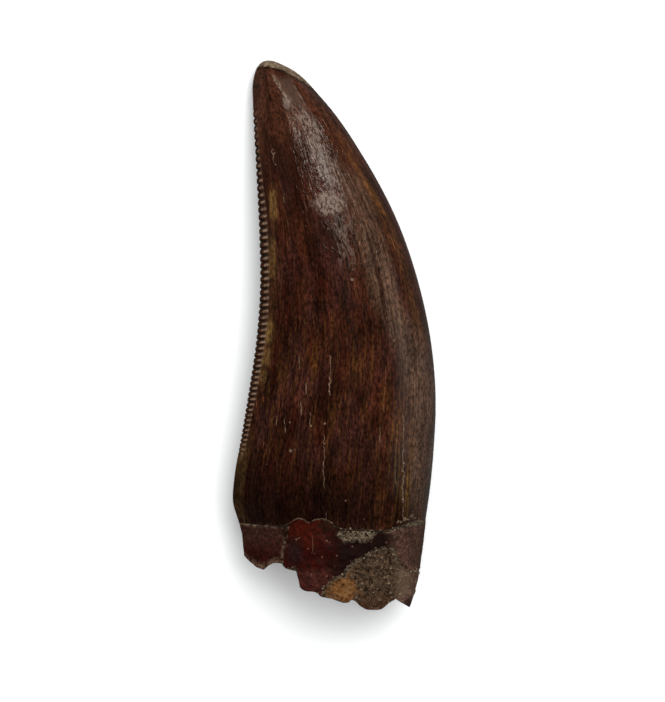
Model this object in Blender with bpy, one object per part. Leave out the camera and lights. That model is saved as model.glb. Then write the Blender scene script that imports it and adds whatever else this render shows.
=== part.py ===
"""A fossil theropod tooth, lying on its flatter face with its tip towards +Y.

The tooth is one solid: an enamel crown, a short stump of root below it, and the rough break where the
rest of the root is gone. It is lofted from rings. Each ring runs from the serrated cutting edge (-X) over
the upper face to the blunt edge (+X), and back under the tooth. Sizes are in millimetres, and MM makes
them metres.
"""

import math

import bpy
import numpy as np
from mathutils import Vector, noise

MM = 0.001

# The crown's two edges, seen from above, from the enamel's lower margin to the apex. The cutting edge is
# gently hollow in the middle, and the blunt edge is one long curve that leans over to the worn tip.
CUTTING_EDGE = [
    (-8.76, -17.39), (-9.31, -15.46), (-9.17, -13.16), (-8.67, -10.12), (-7.98, -5.98), (-7.19, -0.64),
    (-6.83, 4.60), (-6.92, 9.20), (-7.24, 15.64), (-7.50, 21.16), (-7.47, 23.46), (-7.01, 24.70),
    (-6.18, 25.25),
]
BLUNT_EDGE = [
    (8.40, -17.39), (8.72, -15.00), (9.14, -10.58), (9.32, -5.98), (8.91, -0.92), (7.76, 4.60),
    (5.78, 10.40), (2.74, 16.19), (-1.03, 21.57), (-3.97, 24.43), (-5.08, 25.02), (-6.18, 25.25),
]

# The enamel's margin on each face, from -X to +X, and the root stump's two sides, from the enamel down.
MARGIN_UPPER = [
    (-8.76, -17.40), (-7.01, -17.53), (-4.62, -17.57), (-4.16, -17.39), (-3.79, -17.02), (-3.24, -16.86),
    (-2.69, -16.93), (-2.41, -17.30), (-1.67, -16.93), (-1.03, -16.84), (-0.39, -17.11), (0.17, -17.62),
    (0.99, -17.80), (3.48, -17.94), (4.58, -17.99), (5.78, -17.62), (7.25, -17.15), (8.45, -17.11),
]
MARGIN_UNDER = [
    (-8.76, -17.40), (-6.00, -17.90), (-2.00, -17.50), (1.00, -18.00), (5.00, -17.60), (8.45, -17.11),
]
ROOT_CUTTING_SIDE = [(-8.76, -17.39), (-8.48, -18.40), (-8.39, -19.60), (-8.24, -20.90)]
ROOT_BLUNT_SIDE = [
    (8.40, -17.39), (8.26, -18.68), (7.99, -20.70), (7.71, -22.54), (7.25, -24.29), (6.95, -25.20),
]

# The broken end: its rim on the upper face, with two lobes, a deep step and three blunt points, its shorter
# rim underneath, and the slope of its floor from side to side.
BREAK_UPPER = [
    (-8.40, -20.35), (-7.75, -20.98), (-7.19, -21.44), (-6.52, -21.69), (-6.09, -21.30), (-5.75, -21.02),
    (-4.94, -20.99), (-4.62, -21.44), (-4.07, -21.62), (-3.38, -21.76), (-3.20, -23.30), (-2.59, -23.55),
    (-1.67, -23.63), (-1.31, -23.98), (-0.20, -24.32), (0.90, -24.68), (1.36, -24.65), (1.66, -24.33),
    (2.08, -24.55), (2.47, -24.96), (3.14, -25.32), (4.47, -25.32), (5.04, -24.82), (5.59, -24.26),
    (6.09, -24.55), (6.65, -24.93), (6.90, -25.14), (7.30, -24.60),
]
BREAK_UNDER = [
    (-8.40, -20.10), (-6.50, -20.60), (-4.00, -20.40), (-2.50, -21.60), (-0.50, -22.80), (1.50, -22.30),
    (3.50, -23.60), (5.50, -23.20), (7.30, -24.20),
]
BREAK_FLOOR = [(-8.40, -20.60), (7.30, -24.20)]
BREAK_HOLLOW = 1.1
BREAK_ROUGHNESS = 0.45
BREAK_RIM_SHARE = 0.45

# How far the root's surface lies below the enamel: on the upper face deep beside the cutting edge, nearly
# level under the raised tongue of dentine, and deep again up to the blunt edge.
LEDGE_UPPER = [(-8.80, 0.30), (-4.95, 0.34), (-4.55, 0.06), (-1.20, 0.08), (0.20, 0.26), (8.50, 0.20)]
LEDGE_UNDER = 0.25
LEDGE_FIRST_RING = 0.022
LEDGE_LAST_RING = 0.04

# Thickness as a share of each ring's width, and the height of the underside, at even steps from the
# enamel's margin to the apex. The crown bows a little, so the tooth lies on its base and near its tip,
# and rings narrower than TIP_WIDTH rise to the apex's height.
THICKNESS_SHARE = [0.530, 0.545, 0.560, 0.575, 0.600, 0.680]
UNDERSIDE_HEIGHT = [-0.34, -0.27, 0.04, 0.30, 0.22, -0.10]
APEX_HEIGHT = 0.9
TIP_WIDTH = 3.2
UPPER_SHARE_OF_THICKNESS = 0.56

# Where each face is thickest, from the cutting edge (0) to the blunt edge (1), and how it swells on the
# way: like a wedge from the cutting edge, and round from the blunt edge.
THICKEST_AT_UPPER = 0.60
THICKEST_AT_UNDER = 0.52
WEDGE_POWERS = (2.0, 1.05)
ROUND_POWERS = (2.2, 0.5)

# The serration: rounded denticles down the cutting edge, wide near the tip and narrow towards the root,
# which fade in and out at the ends of the row. Distances run down the edge from the apex.
ROW_START = 4.60
ROW_END = 37.70
PITCH_AT_TIP = 0.70
PITCH_DROP = 0.28
PITCH_DROP_POWER = 1.6
ROW_FADE_IN = 0.04
ROW_FADE_OUT = 0.07
DENTICLE_NOTCH = 0.17
DENTICLE_REACH = 0.72
DENTICLE_FLUTING = 0.30
DENTICLE_ROUNDNESS = 0.7
DENTICLE_PHASES = (0.0, 0.2, 0.5, 0.8)

# The worn tip: a bevel along the blunt edge, and a flat strip along the upper face.
WEAR_LENGTH = 7.6
WEAR_WIDTH = 0.9
WEAR_LOW_SHARE = 0.1
WEAR_FADE = 0.4
STRIP_FROM = 0.74
STRIP_FULL = 0.84
STRIP_HEIGHT_SHARE = 0.93

# Relief of the stump: a crust of rock on the upper face, and general roughness.
CRUST_CENTRE = (4.3, -22.6)
CRUST_RADII = (3.4, 2.7)
CRUST_EDGE = (0.6, 1.1)
CRUST_HEIGHT = 0.30
ROOT_ROUGHNESS = 0.16
ROUGHNESS_SIZE = 1.1

# Rings and points of the loft, the share of the crown whose rings bend with the enamel's margin, and how
# far the finished mesh is thinned.
EDGE_STEPS = (0.0, 0.12, 0.28, 0.50, 0.80, 1.20)
NARROW_RING = 5.0
POINTS_PER_FACE = 28
CURVE_STEPS = 40
TIP_RINGS = 9
NECK_RINGS = 9
ROOT_RINGS = 12
RIM_STEPS = 6
BREAK_RINGS = 7
MARGIN_REACH = 0.10
THINNED_SHARE = 0.30

# The block whose top is the surface that the tooth lies on, at z = 0.
CUTTER_SIDE = 80.0
CUTTER_HEIGHT = 10.0

ENAMEL_COLOUR = (0.045, 0.019, 0.011, 1.0)
ENAMEL_ROUGHNESS = 0.38


def smoothstep(low, high, value):
    share = np.clip((value - low) / (high - low), 0.0, 1.0)
    return share * share * (3.0 - 2.0 * share)


class Edge:
    """A smooth curve through points, read by the share of its length from its first point."""

    def __init__(self, points):
        corners = np.array(points, float)
        chords = np.linalg.norm(np.diff(corners, axis=0), axis=1)
        slopes = np.gradient(corners, np.concatenate([[0.0], np.cumsum(chords)]), axis=0)
        t = np.linspace(0.0, 1.0, CURVE_STEPS, endpoint=False)[:, None]
        pieces = [
            (2 * t**3 - 3 * t**2 + 1) * corners[i]
            + (t**3 - 2 * t**2 + t) * chord * slopes[i]
            + (3 * t**2 - 2 * t**3) * corners[i + 1]
            + (t**3 - t**2) * chord * slopes[i + 1]
            for i, chord in enumerate(chords)
        ]
        self.dense = np.concatenate(pieces + [corners[-1:]])
        steps = np.linalg.norm(np.diff(self.dense, axis=0), axis=1)
        self.at = np.concatenate([[0.0], np.cumsum(steps)])
        self.length = self.at[-1]

    def point(self, share):
        at = share * self.length
        return np.array([np.interp(at, self.at, column) for column in self.dense.T])


def read_line(points, x):
    """The second value of (x, value) points, along straight lines between them."""
    return np.interp(x, [p[0] for p in points], [p[1] for p in points])


def read_curve(values, share):
    """A smoothed value from a list at even steps from 0 to 1."""
    fine = np.interp(np.linspace(0.0, 1.0, 201), np.linspace(0.0, 1.0, len(values)), values)
    rounded = np.convolve(np.pad(fine, 20, mode="edge"), np.ones(41) / 41, "valid")
    return float(np.interp(share, np.linspace(0.0, 1.0, 201), rounded))


def face_profile(s, thickest_at):
    """How full a face is, 0 to 1, at share s of the way from the cutting edge to the blunt edge."""
    wedge = 1.0 - np.clip(1.0 - s / thickest_at, 0.0, 1.0) ** WEDGE_POWERS[0]
    rounded = 1.0 - np.clip(1.0 - (1.0 - s) / (1.0 - thickest_at), 0.0, 1.0) ** ROUND_POWERS[0]
    return np.where(s < thickest_at, wedge ** WEDGE_POWERS[1], rounded ** ROUND_POWERS[1])


def shares_across(width):
    """Where a ring's points lie across a face: close together by the cutting edge, then more even."""
    near = np.array(EDGE_STEPS) / max(width, NARROW_RING)
    angle = np.linspace(math.acos(1.0 - 2.0 * near[-1]), math.pi, POINTS_PER_FACE + 2 - len(near))
    return np.concatenate([near, (1.0 - np.cos(angle[1:])) / 2.0])


def denticle_gap(phase):
    """1 in the gap between two denticles, and 0 on the crest of one."""
    return 1.0 - abs(math.sin(math.pi * phase)) ** DENTICLE_ROUNDNESS


def crown_stations(edge_length):
    """(distance down the cutting edge from the apex, gap value) for each ring of the crown."""
    stations = [(ROW_START * ((i + 1) / (TIP_RINGS + 1)) ** 2, 0.0) for i in range(TIP_RINGS)]
    at = ROW_START
    while at < ROW_END:
        share = (at - ROW_START) / (ROW_END - ROW_START)
        pitch = PITCH_AT_TIP - PITCH_DROP * share**PITCH_DROP_POWER
        fade = smoothstep(0.0, ROW_FADE_IN, share) * (1.0 - smoothstep(1.0 - ROW_FADE_OUT, 1.0, share))
        stations += [(at + phase * pitch, denticle_gap(phase) * fade) for phase in DENTICLE_PHASES]
        at += pitch
    return stations + [(float(neck), 0.0) for neck in np.linspace(at, edge_length, NECK_RINGS)]


def crown_ring(cutting, blunt, distance, gap):
    """One ring of the crown."""
    share = 1.0 - distance / cutting.length
    start, end = cutting.point(share), blunt.point(share)
    width = float(np.linalg.norm(end - start))
    s = shares_across(width)
    toothed = np.clip(1.0 - s * width / DENTICLE_REACH, 0.0, 1.0)
    notched = s + gap * DENTICLE_NOTCH * toothed / width
    fluting = 1.0 - DENTICLE_FLUTING * gap * smoothstep(0.0, 0.5, toothed)
    upper = width * read_curve(THICKNESS_SHARE, share) * UPPER_SHARE_OF_THICKNESS
    under = width * read_curve(THICKNESS_SHARE, share) - upper
    lift = APEX_HEIGHT * (1.0 - smoothstep(0.0, TIP_WIDTH, width))
    middle = read_curve(UNDERSIDE_HEIGHT, share) + under + lift
    top = upper * worn_profile(s, width, share, distance) * fluting
    bottom = under * face_profile(s, THICKEST_AT_UNDER) * fluting
    upper_face = across(start, end, notched, middle + top)
    under_face = across(start, end, notched, middle - bottom)
    bend = 1.0 - smoothstep(0.0, MARGIN_REACH, share)
    upper_face[:, 1] += bend * (read_line(MARGIN_UPPER, upper_face[:, 0]) - CUTTING_EDGE[0][1])
    under_face[:, 1] += bend * (read_line(MARGIN_UNDER, under_face[:, 0]) - CUTTING_EDGE[0][1])
    return np.concatenate([upper_face, under_face[-2:0:-1]])


def worn_profile(s, width, share, distance):
    """The upper face's profile, with the flat strip and the bevel that wear has left near the tip."""
    full = face_profile(s, THICKEST_AT_UPPER)
    strip = smoothstep(STRIP_FROM, STRIP_FULL, share)
    full = full + strip * (np.minimum(full, STRIP_HEIGHT_SHARE) - full)
    bevel = WEAR_LOW_SHARE + (1.0 - WEAR_LOW_SHARE) * (1.0 - s) * width / WEAR_WIDTH
    worn = smoothstep(0.0, WEAR_FADE, 1.0 - distance / WEAR_LENGTH)
    return full + worn * (np.minimum(full, bevel) - full)


def across(start, end, s, z):
    """Points from start to end at shares s, at heights z."""
    return np.column_stack([start + s[:, None] * (end - start), z])


def roughness(point):
    return noise.fractal(Vector(point) / ROUGHNESS_SIZE, 1.0, 2.0, 3)


def between_sides(margin_x, y):
    """Where points of the enamel's margin lie across the stump, at heights y."""
    left = np.interp(-y, [-p[1] for p in ROOT_CUTTING_SIDE], [p[0] for p in ROOT_CUTTING_SIDE])
    right = np.interp(-y, [-p[1] for p in ROOT_BLUNT_SIDE], [p[0] for p in ROOT_BLUNT_SIDE])
    return left + (margin_x - margin_x.min()) / np.ptp(margin_x) * (right - left)


def break_rim(margin, upper):
    """The heights at which the lines down the stump meet the break, found in a few steps."""
    x = margin[:, 0]
    for _ in range(RIM_STEPS):
        rim_y = np.where(upper, read_line(BREAK_UPPER, x), read_line(BREAK_UNDER, x))
        x = between_sides(margin[:, 0], rim_y)
    return rim_y


def root_ring(margin, depth):
    """One ring of the root stump, at a share of the way from the enamel's margin to the break."""
    ring = margin.copy()
    upper = np.arange(len(ring)) <= POINTS_PER_FACE
    ring[:, 1] += depth * (break_rim(margin, upper) - ring[:, 1])
    ring[:, 0] = between_sides(margin[:, 0], ring[:, 1])
    outward = ring - ring.mean(axis=0)
    outward[:, 1] = 0.0
    outward /= np.linalg.norm(outward, axis=1)[:, None]
    ledge = np.where(upper, read_line(LEDGE_UPPER, ring[:, 0]), LEDGE_UNDER)
    ledge *= smoothstep(0.1, 0.6, np.abs(outward[:, 2]))
    relief = stump_relief(ring, upper) * smoothstep(0.0, 0.3, depth) * np.abs(outward[:, 2])
    return ring + outward * (relief - ledge * smoothstep(0.0, LEDGE_LAST_RING, depth))[:, None]


def stump_relief(ring, upper):
    """The crust of rock on the stump's upper face, and the roughness all round it."""
    from_crust = ((ring[:, :2] - CRUST_CENTRE) / CRUST_RADII) ** 2
    crust = CRUST_HEIGHT * (1.0 - smoothstep(*CRUST_EDGE, from_crust.sum(axis=1))) * upper
    return crust + ROOT_ROUGHNESS * np.array([roughness(point) for point in ring])


def break_ring(rim, share):
    """One ring of the broken end, at a share of the way from its rim to its middle."""
    ring = rim.copy()
    middle = rim.mean(axis=0)
    ring[:, [0, 2]] = middle[[0, 2]] + (rim[:, [0, 2]] - middle[[0, 2]]) * (1.0 - share)
    away_from_rim = smoothstep(0.0, BREAK_RIM_SHARE, share)
    floor = read_line(BREAK_FLOOR, ring[:, 0]) + BREAK_HOLLOW * smoothstep(0.1, 0.8, share)
    bumps = BREAK_ROUGHNESS * np.array([roughness((x, 0.0, z)) for x, _, z in ring])
    ring[:, 1] += away_from_rim * (floor + bumps - ring[:, 1])
    return ring


def tooth_rings():
    """The apex and the rings, down the crown and stump and into the break, centred over the origin."""
    cutting, blunt = Edge(CUTTING_EDGE), Edge(BLUNT_EDGE)
    rings = [crown_ring(cutting, blunt, distance, gap) for distance, gap in crown_stations(cutting.length)]
    margin = rings[-1]
    rings += [root_ring(margin, depth) for depth in np.linspace(LEDGE_FIRST_RING, 1.0, ROOT_RINGS)]
    rim = rings[-1]
    rings += [break_ring(rim, (i + 1) / (BREAK_RINGS + 1)) for i in range(BREAK_RINGS)]
    apex = np.array([*CUTTING_EDGE[-1], read_curve(UNDERSIDE_HEIGHT, 1.0) + APEX_HEIGHT])
    outer = np.concatenate([*rings, [apex]])
    middle = (outer.min(axis=0) + outer.max(axis=0)) / 2.0 * (1.0, 1.0, 0.0)
    return apex - middle, [ring - middle for ring in rings]


def loft(name, apex, rings):
    """A closed mesh through the rings, with a fan of triangles at each end."""
    size = len(rings[0])
    points = np.concatenate([[apex], *rings, [rings[-1].mean(axis=0)]]) * MM
    faces = [(0, 1 + (i + 1) % size, 1 + i) for i in range(size)]
    for r in range(len(rings) - 1):
        this, below = 1 + r * size, 1 + (r + 1) * size
        for i in range(size):
            j = (i + 1) % size
            faces.append((this + i, this + j, below + j, below + i))
    last, middle = 1 + (len(rings) - 1) * size, len(points) - 1
    faces += [(last + i, last + (i + 1) % size, middle) for i in range(size)]
    mesh = bpy.data.meshes.new(name)
    mesh.from_pydata(points.tolist(), [], faces)
    mesh.shade_smooth()
    return mesh


def enamel_material():
    material = bpy.data.materials.new("fossil_enamel")
    material.use_nodes = True
    shader = material.node_tree.nodes["Principled BSDF"]
    shader.inputs["Base Color"].default_value = ENAMEL_COLOUR
    shader.inputs["Roughness"].default_value = ENAMEL_ROUGHNESS
    shader.inputs["Metallic"].default_value = 0.0
    return material


def resting_cutter(collection):
    """A block below z = 0, which cuts the flat that the tooth rests on."""
    height = CUTTER_HEIGHT * MM
    bpy.ops.mesh.primitive_cube_add(size=1.0, location=(0.0, 0.0, -height / 2.0))
    block = bpy.context.active_object
    block.name = "resting_cutter"
    block.scale = (CUTTER_SIDE * MM, CUTTER_SIDE * MM, height)
    block.hide_render = True
    block.display_type = "WIRE"
    for owner in list(block.users_collection):
        owner.objects.unlink(block)
    collection.objects.link(block)
    return block


def build():
    for old in list(bpy.data.objects):
        bpy.data.objects.remove(old)
    pieces = bpy.data.collections.new("theropod_tooth")
    cutters = bpy.data.collections.new("cutters")
    for collection in (pieces, cutters):
        bpy.context.scene.collection.children.link(collection)
    tooth = bpy.data.objects.new("tooth", loft("tooth", *tooth_rings()))
    tooth.data.materials.append(enamel_material())
    pieces.objects.link(tooth)
    thinned = tooth.modifiers.new("thinned", "DECIMATE")
    thinned.ratio = THINNED_SHARE
    resting_flat = tooth.modifiers.new("resting_flat", "BOOLEAN")
    resting_flat.operation = "DIFFERENCE"
    resting_flat.object = resting_cutter(cutters)


build()
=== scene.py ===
"""A fossil theropod tooth: dark wrinkled enamel, a serrated cutting edge, and a broken root with rock on it.

The tooth is one mesh, lofted from rings over the CAD solid's own sizes, with the serration and the fine
relief added by Geometry Nodes. Grains of rock that cling to the root are a second mesh. Lengths in the
lists below are in millimetres, in the CAD frame: +Y towards the tip, -X the cutting edge, +Z up.
"""

import math

import bpy
import numpy as np
from bpy.props import FloatProperty, FloatVectorProperty, PointerProperty
from bpy.types import Operator, Panel, PropertyGroup
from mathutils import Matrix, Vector, noise


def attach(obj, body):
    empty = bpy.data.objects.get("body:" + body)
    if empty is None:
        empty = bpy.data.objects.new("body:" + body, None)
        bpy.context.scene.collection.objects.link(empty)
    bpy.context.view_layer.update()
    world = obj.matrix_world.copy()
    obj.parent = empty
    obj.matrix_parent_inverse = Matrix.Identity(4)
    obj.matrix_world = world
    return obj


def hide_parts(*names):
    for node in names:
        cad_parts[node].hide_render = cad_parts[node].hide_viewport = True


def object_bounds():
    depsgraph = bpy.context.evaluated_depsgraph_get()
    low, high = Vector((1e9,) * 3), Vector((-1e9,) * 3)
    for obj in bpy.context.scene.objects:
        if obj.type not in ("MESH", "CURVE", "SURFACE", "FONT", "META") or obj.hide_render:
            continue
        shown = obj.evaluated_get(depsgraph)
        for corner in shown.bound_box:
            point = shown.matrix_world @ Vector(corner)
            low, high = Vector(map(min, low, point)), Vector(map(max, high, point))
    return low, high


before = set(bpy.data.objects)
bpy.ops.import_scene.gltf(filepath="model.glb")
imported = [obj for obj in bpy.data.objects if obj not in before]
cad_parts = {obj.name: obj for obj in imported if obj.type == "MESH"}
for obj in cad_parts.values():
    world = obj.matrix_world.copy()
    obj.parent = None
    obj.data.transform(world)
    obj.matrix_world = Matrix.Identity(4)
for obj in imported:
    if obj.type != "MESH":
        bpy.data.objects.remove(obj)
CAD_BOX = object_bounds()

bl_info = {
    "name": "Fossil theropod tooth",
    "version": (1, 0, 0),
    "blender": (4, 5, 0),
    "location": "3D View > Sidebar > Fossil",
    "description": "Builds a fossil theropod tooth, the rock grains on its root, and its studio stage",
    "category": "Add Mesh",
}

MM = 0.001
TOOTH_MATERIALS = ("Enamel", "Dentine", "Break")
NODE = "tooth"
BODY = "root"
BOX_CLEARANCE = 2e-6

# The crown's two edges, seen from above, from the enamel's lower margin to the apex.
CUTTING_EDGE = [
    (-8.76, -17.39), (-9.31, -15.46), (-9.17, -13.16), (-8.67, -10.12), (-7.98, -5.98), (-7.19, -0.64),
    (-6.83, 4.60), (-6.92, 9.20), (-7.24, 15.64), (-7.50, 21.16), (-7.47, 23.46), (-7.07, 24.68),
    (-6.66, 25.10), (-6.18, 25.25),
]
BLUNT_EDGE = [
    (8.40, -17.39), (8.72, -15.00), (9.14, -10.58), (9.32, -5.98), (8.91, -0.92), (7.76, 4.60),
    (5.78, 10.40), (2.74, 16.19), (-1.03, 21.57), (-3.97, 24.43), (-5.08, 24.98), (-5.66, 25.19),
    (-6.18, 25.25),
]

# The enamel's margin on each face, from -X to +X, and the root stump's two sides, from the enamel down.
MARGIN_UPPER = [
    (-8.76, -17.40), (-7.01, -17.53), (-4.62, -17.57), (-4.16, -17.39), (-3.79, -17.02), (-3.24, -16.86),
    (-2.69, -16.93), (-2.41, -17.30), (-1.67, -16.93), (-1.03, -16.84), (-0.39, -17.11), (0.17, -17.62),
    (0.99, -17.80), (3.48, -17.94), (4.58, -17.99), (5.78, -17.62), (7.25, -17.15), (8.45, -17.11),
]
MARGIN_UNDER = [
    (-8.76, -17.40), (-6.00, -17.90), (-2.00, -17.50), (1.00, -18.00), (5.00, -17.60), (8.45, -17.11),
]
ROOT_CUTTING_SIDE = [(-8.76, -17.39), (-8.48, -18.40), (-8.39, -19.60), (-8.24, -20.90)]
ROOT_BLUNT_SIDE = [
    (8.40, -17.39), (8.26, -18.68), (7.99, -20.70), (7.71, -22.54), (7.25, -24.29), (6.95, -25.20),
]

# The broken end: its rim on the upper face, its shorter rim underneath, and the slope of its floor.
BREAK_UPPER = [
    (-8.40, -20.35), (-7.75, -20.98), (-7.19, -21.44), (-6.52, -21.69), (-6.09, -21.30), (-5.75, -21.02),
    (-4.94, -20.99), (-4.62, -21.44), (-4.07, -21.62), (-3.38, -21.76), (-3.20, -23.30), (-2.59, -23.55),
    (-1.67, -23.63), (-1.31, -23.98), (-0.20, -24.32), (0.90, -24.68), (1.36, -24.65), (1.66, -24.33),
    (2.08, -24.55), (2.47, -24.96), (3.14, -25.32), (4.47, -25.32), (5.04, -24.82), (5.59, -24.26),
    (6.09, -24.55), (6.65, -24.93), (6.90, -25.14), (7.30, -24.60),
]
BREAK_UNDER = [
    (-8.40, -20.10), (-6.50, -20.60), (-4.00, -20.40), (-2.50, -21.60), (-0.50, -22.80), (1.50, -22.30),
    (3.50, -23.60), (5.50, -23.20), (7.30, -24.20),
]
BREAK_FLOOR = [(-8.40, -20.00), (-6.60, -20.60), (-4.70, -20.40), (-3.30, -21.40), (7.30, -23.90)]
BREAK_HOLLOW = 1.1
BREAK_ROUGHNESS = 0.45
BREAK_RIM_SHARE = 0.45
RIM_TUCK = 0.12
RIM_TUCK_SHARE = 0.06

# How far the root's surface lies below the enamel, and how the raised tongue's sides lean.
LEDGE_UPPER = [(-8.80, 0.30), (-4.95, 0.34), (-4.70, 0.06), (-1.20, 0.08), (0.20, 0.26), (8.50, 0.20)]
LEDGE_UNDER = 0.25
LEDGE_STEPS = (0.003, 0.007, 0.011, 0.015, 0.020, 0.026)
LEDGE_LAST_RING = 0.018
TONGUE_LEAN = 0.19
TONGUE_FOOT = -20.7
MARGIN_RAGGEDNESS = 0.07

# Thickness as a share of each ring's width, and the underside's height, from the margin to the apex.
THICKNESS_SHARE = [0.530, 0.545, 0.560, 0.575, 0.600, 0.680]
UNDERSIDE_HEIGHT = [-0.34, -0.27, 0.04, 0.30, 0.22, -0.10]
APEX_HEIGHT = 0.9
TIP_WIDTH = 3.2
UPPER_SHARE_OF_THICKNESS = 0.56
THICKEST_AT_UPPER = 0.60
THICKEST_AT_UNDER = 0.52
WEDGE_POWERS = (2.0, 1.05)
ROUND_POWERS = (2.2, 0.5)

# The serration's row, by distance down the cutting edge from the apex.
ROW_START = 4.60
ROW_END = 37.70
PITCH_AT_TIP = 0.70
PITCH_DROP = 0.28
PITCH_DROP_POWER = 1.6
ROW_FADE_IN = 0.04
ROW_FADE_OUT = 0.07
CREST = 0.5
ROW_REACH = [(ROW_START, 0.42), (8.0, 0.46), (11.0, 0.60), (15.0, 0.92), (26.0, 1.12), (ROW_END, 0.65)]
DENTICLE_PHASES = (0.0, 0.1, 0.26, 0.5, 0.74, 0.9)

# The worn tip.
WEAR_LENGTH = 7.6
WEAR_WIDTH = 0.9
WEAR_LOW_SHARE = 0.1
WEAR_FADE = 0.4
STRIP_FROM = 0.74
STRIP_FULL = 0.84
STRIP_HEIGHT_SHARE = 0.93

# Relief of the stump that the CAD solid has too.
ROOT_ROUGHNESS = 0.16
ROUGHNESS_SIZE = 1.1

# Rings and points of the loft.
EDGE_STEPS = (
    0.0, 0.05, 0.10, 0.16, 0.22, 0.29, 0.37, 0.45, 0.54, 0.64, 0.75, 0.88, 1.02, 1.18, 1.36,
)
NARROW_RING = 5.0
POINTS_PER_FACE = 92
CURVE_STEPS = 60
TIP_RINGS = 40
NECK_RINGS = 46
ROOT_RINGS = 58
BREAK_RINGS = 34
RIM_STEPS = 6
MARGIN_REACH = 0.10
FLOW_WIDTH = 16.0
FLOW_HEIGHT = 8.0

# Where rock grains cling: patches on the upper face as (centre, radii, share of the full density), and the
# shares on the break and along the right part of the enamel's margin and of the crust's rim.
GRAIN_PATCHES = [
    ((1.95, -18.35), (1.60, 0.62), 0.16),
    ((6.75, -17.20), (1.30, 0.36), 0.16),
    ((4.30, -22.60), (3.10, 2.40), 0.05),
]
GRAINS_ON_BREAK = 0.16
BREAK_GRAINS_FROM = 0.15
GRAINS_ON_MARGIN = 0.10
MARGIN_GRAIN_REACH = 0.12
MARGIN_GRAINS_FROM_X = -0.1
GRAINS_ON_RIM = 0.12
RIM_GRAIN_REACH = 0.20
RIM_GRAINS_BELOW_MARGIN = 1.0
RIM_GRAINS_ABOVE_Y = -24.0
END_WITHOUT_GRAINS = 0.35

# Outlines on the upper face: the rock crust, the red tongue of dentine with its dark right side, and the worn
# tip; and the distance that stands for outside them on the underside.
CRUST_OUTLINE = [
    (5.48, -19.62), (4.62, -19.56), (3.63, -19.75), (3.00, -20.15), (2.28, -20.60), (1.66, -20.99),
    (1.04, -21.63), (0.92, -22.12), (0.30, -22.22), (-0.19, -22.47), (-0.68, -23.08), (-1.30, -23.70),
    (-0.93, -23.94), (0.18, -24.80), (1.41, -25.20), (3.75, -25.60), (5.20, -25.20), (5.90, -24.30),
    (6.70, -23.80), (8.20, -23.50), (8.20, -22.00), (6.96, -21.73), (6.34, -21.23), (5.85, -20.62),
]
TONGUE_OUTLINE = [
    (-4.75, -20.68), (-4.62, -20.00), (-4.44, -19.14), (-4.26, -18.15), (-4.13, -17.41), (-3.76, -16.80),
    (-2.78, -16.50), (-1.17, -16.40), (-0.30, -16.90), (0.43, -17.80), (2.20, -18.40), (3.40, -18.90),
    (3.40, -19.90), (1.20, -21.90), (-0.60, -23.10), (-1.20, -24.20), (-3.60, -24.20), (-3.40, -21.30),
    (-4.60, -21.50),
]
WEAR_OUTLINE = [
    (-7.60, 24.35), (-7.20, 24.55), (-6.77, 24.62), (-6.21, 24.56), (-5.36, 24.42), (-4.66, 24.22),
    (-3.95, 23.83), (-3.25, 23.38), (-2.55, 22.98), (-2.12, 22.60), (-1.80, 22.50), (-1.20, 23.50),
    (-2.50, 25.60), (-4.50, 27.00), (-7.50, 27.00), (-9.00, 25.60), (-8.60, 24.20),
]
OUTSIDE = -3.0

# The line of the painted highlight along the ridge, and the middle of the band of painted reflection beside
# the blunt edge, as (height, x) and (height, distance from that edge).
RIDGE_LINE = [
    (4.0, 1.5), (7.9, 0.9), (10.0, 0.8), (12.1, -0.1), (14.0, 0.1), (15.4, -0.55), (17.2, -1.55),
    (19.0, -2.25), (20.6, -3.15), (22.0, -3.95), (24.0, -5.05),
]
REFLECTION_BAND = [(-17.0, 1.0), (-10.0, 1.3), (-2.0, 2.1), (3.0, 3.4), (8.0, 3.0), (12.0, 2.5), (18.0, 2.2)]

# Marks on the upper face: hairline cracks as (x, from y, to y, wiggle, width), chips, filled pores and dark
# spots as (x, y, radius), and the ochre line's stretches beside the denticles as (from y, to y).
CRACKS = [
    (-0.40, -1.90, -5.70, 0.50, 0.060), (-2.57, -4.30, -5.70, 0.20, 0.050),
    (-3.00, -6.00, -7.50, 0.40, 0.055), (6.30, -7.30, -17.00, 0.55, 0.050),
    (4.15, -8.40, -10.00, 0.20, 0.040), (-0.95, -9.10, -14.30, 0.45, 0.034),
    (-3.18, -1.90, -3.40, 0.15, 0.035), (7.35, -4.10, -5.10, 0.15, 0.035),
    (-4.50, -7.60, -9.20, 0.30, 0.035), (-4.62, 12.95, 11.75, 0.30, 0.050),
    (-5.62, 17.10, 15.60, 0.60, 0.050), (-2.20, -7.00, -8.60, 0.25, 0.035),
    (-5.30, -7.40, -8.50, 0.25, 0.035), (-0.70, -16.20, -17.60, 0.40, 0.045),
    (5.60, -12.30, -14.20, 0.30, 0.024),
]
TONGUE_CRACK = (-1.97, -18.30, -20.15, 0.22, 0.05)
CHIPS = [
    (1.64, 4.97, 0.13), (-3.97, -10.67, 0.14), (-3.65, -10.55, 0.07), (-0.85, -8.19, 0.10),
    (-5.50, 16.60, 0.07), (-5.40, 15.55, 0.08), (5.45, -0.60, 0.09), (6.35, -11.80, 0.09),
    (-2.10, -8.40, 0.08), (-4.05, -8.10, 0.07), (-0.92, -10.00, 0.08), (1.02, -15.20, 0.07),
    (5.78, -17.24, 0.08), (6.10, -17.18, 0.11), (6.46, -16.92, 0.15), (6.84, -17.00, 0.09),
    (7.08, -16.66, 0.16), (7.45, -16.84, 0.08),
]
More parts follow.
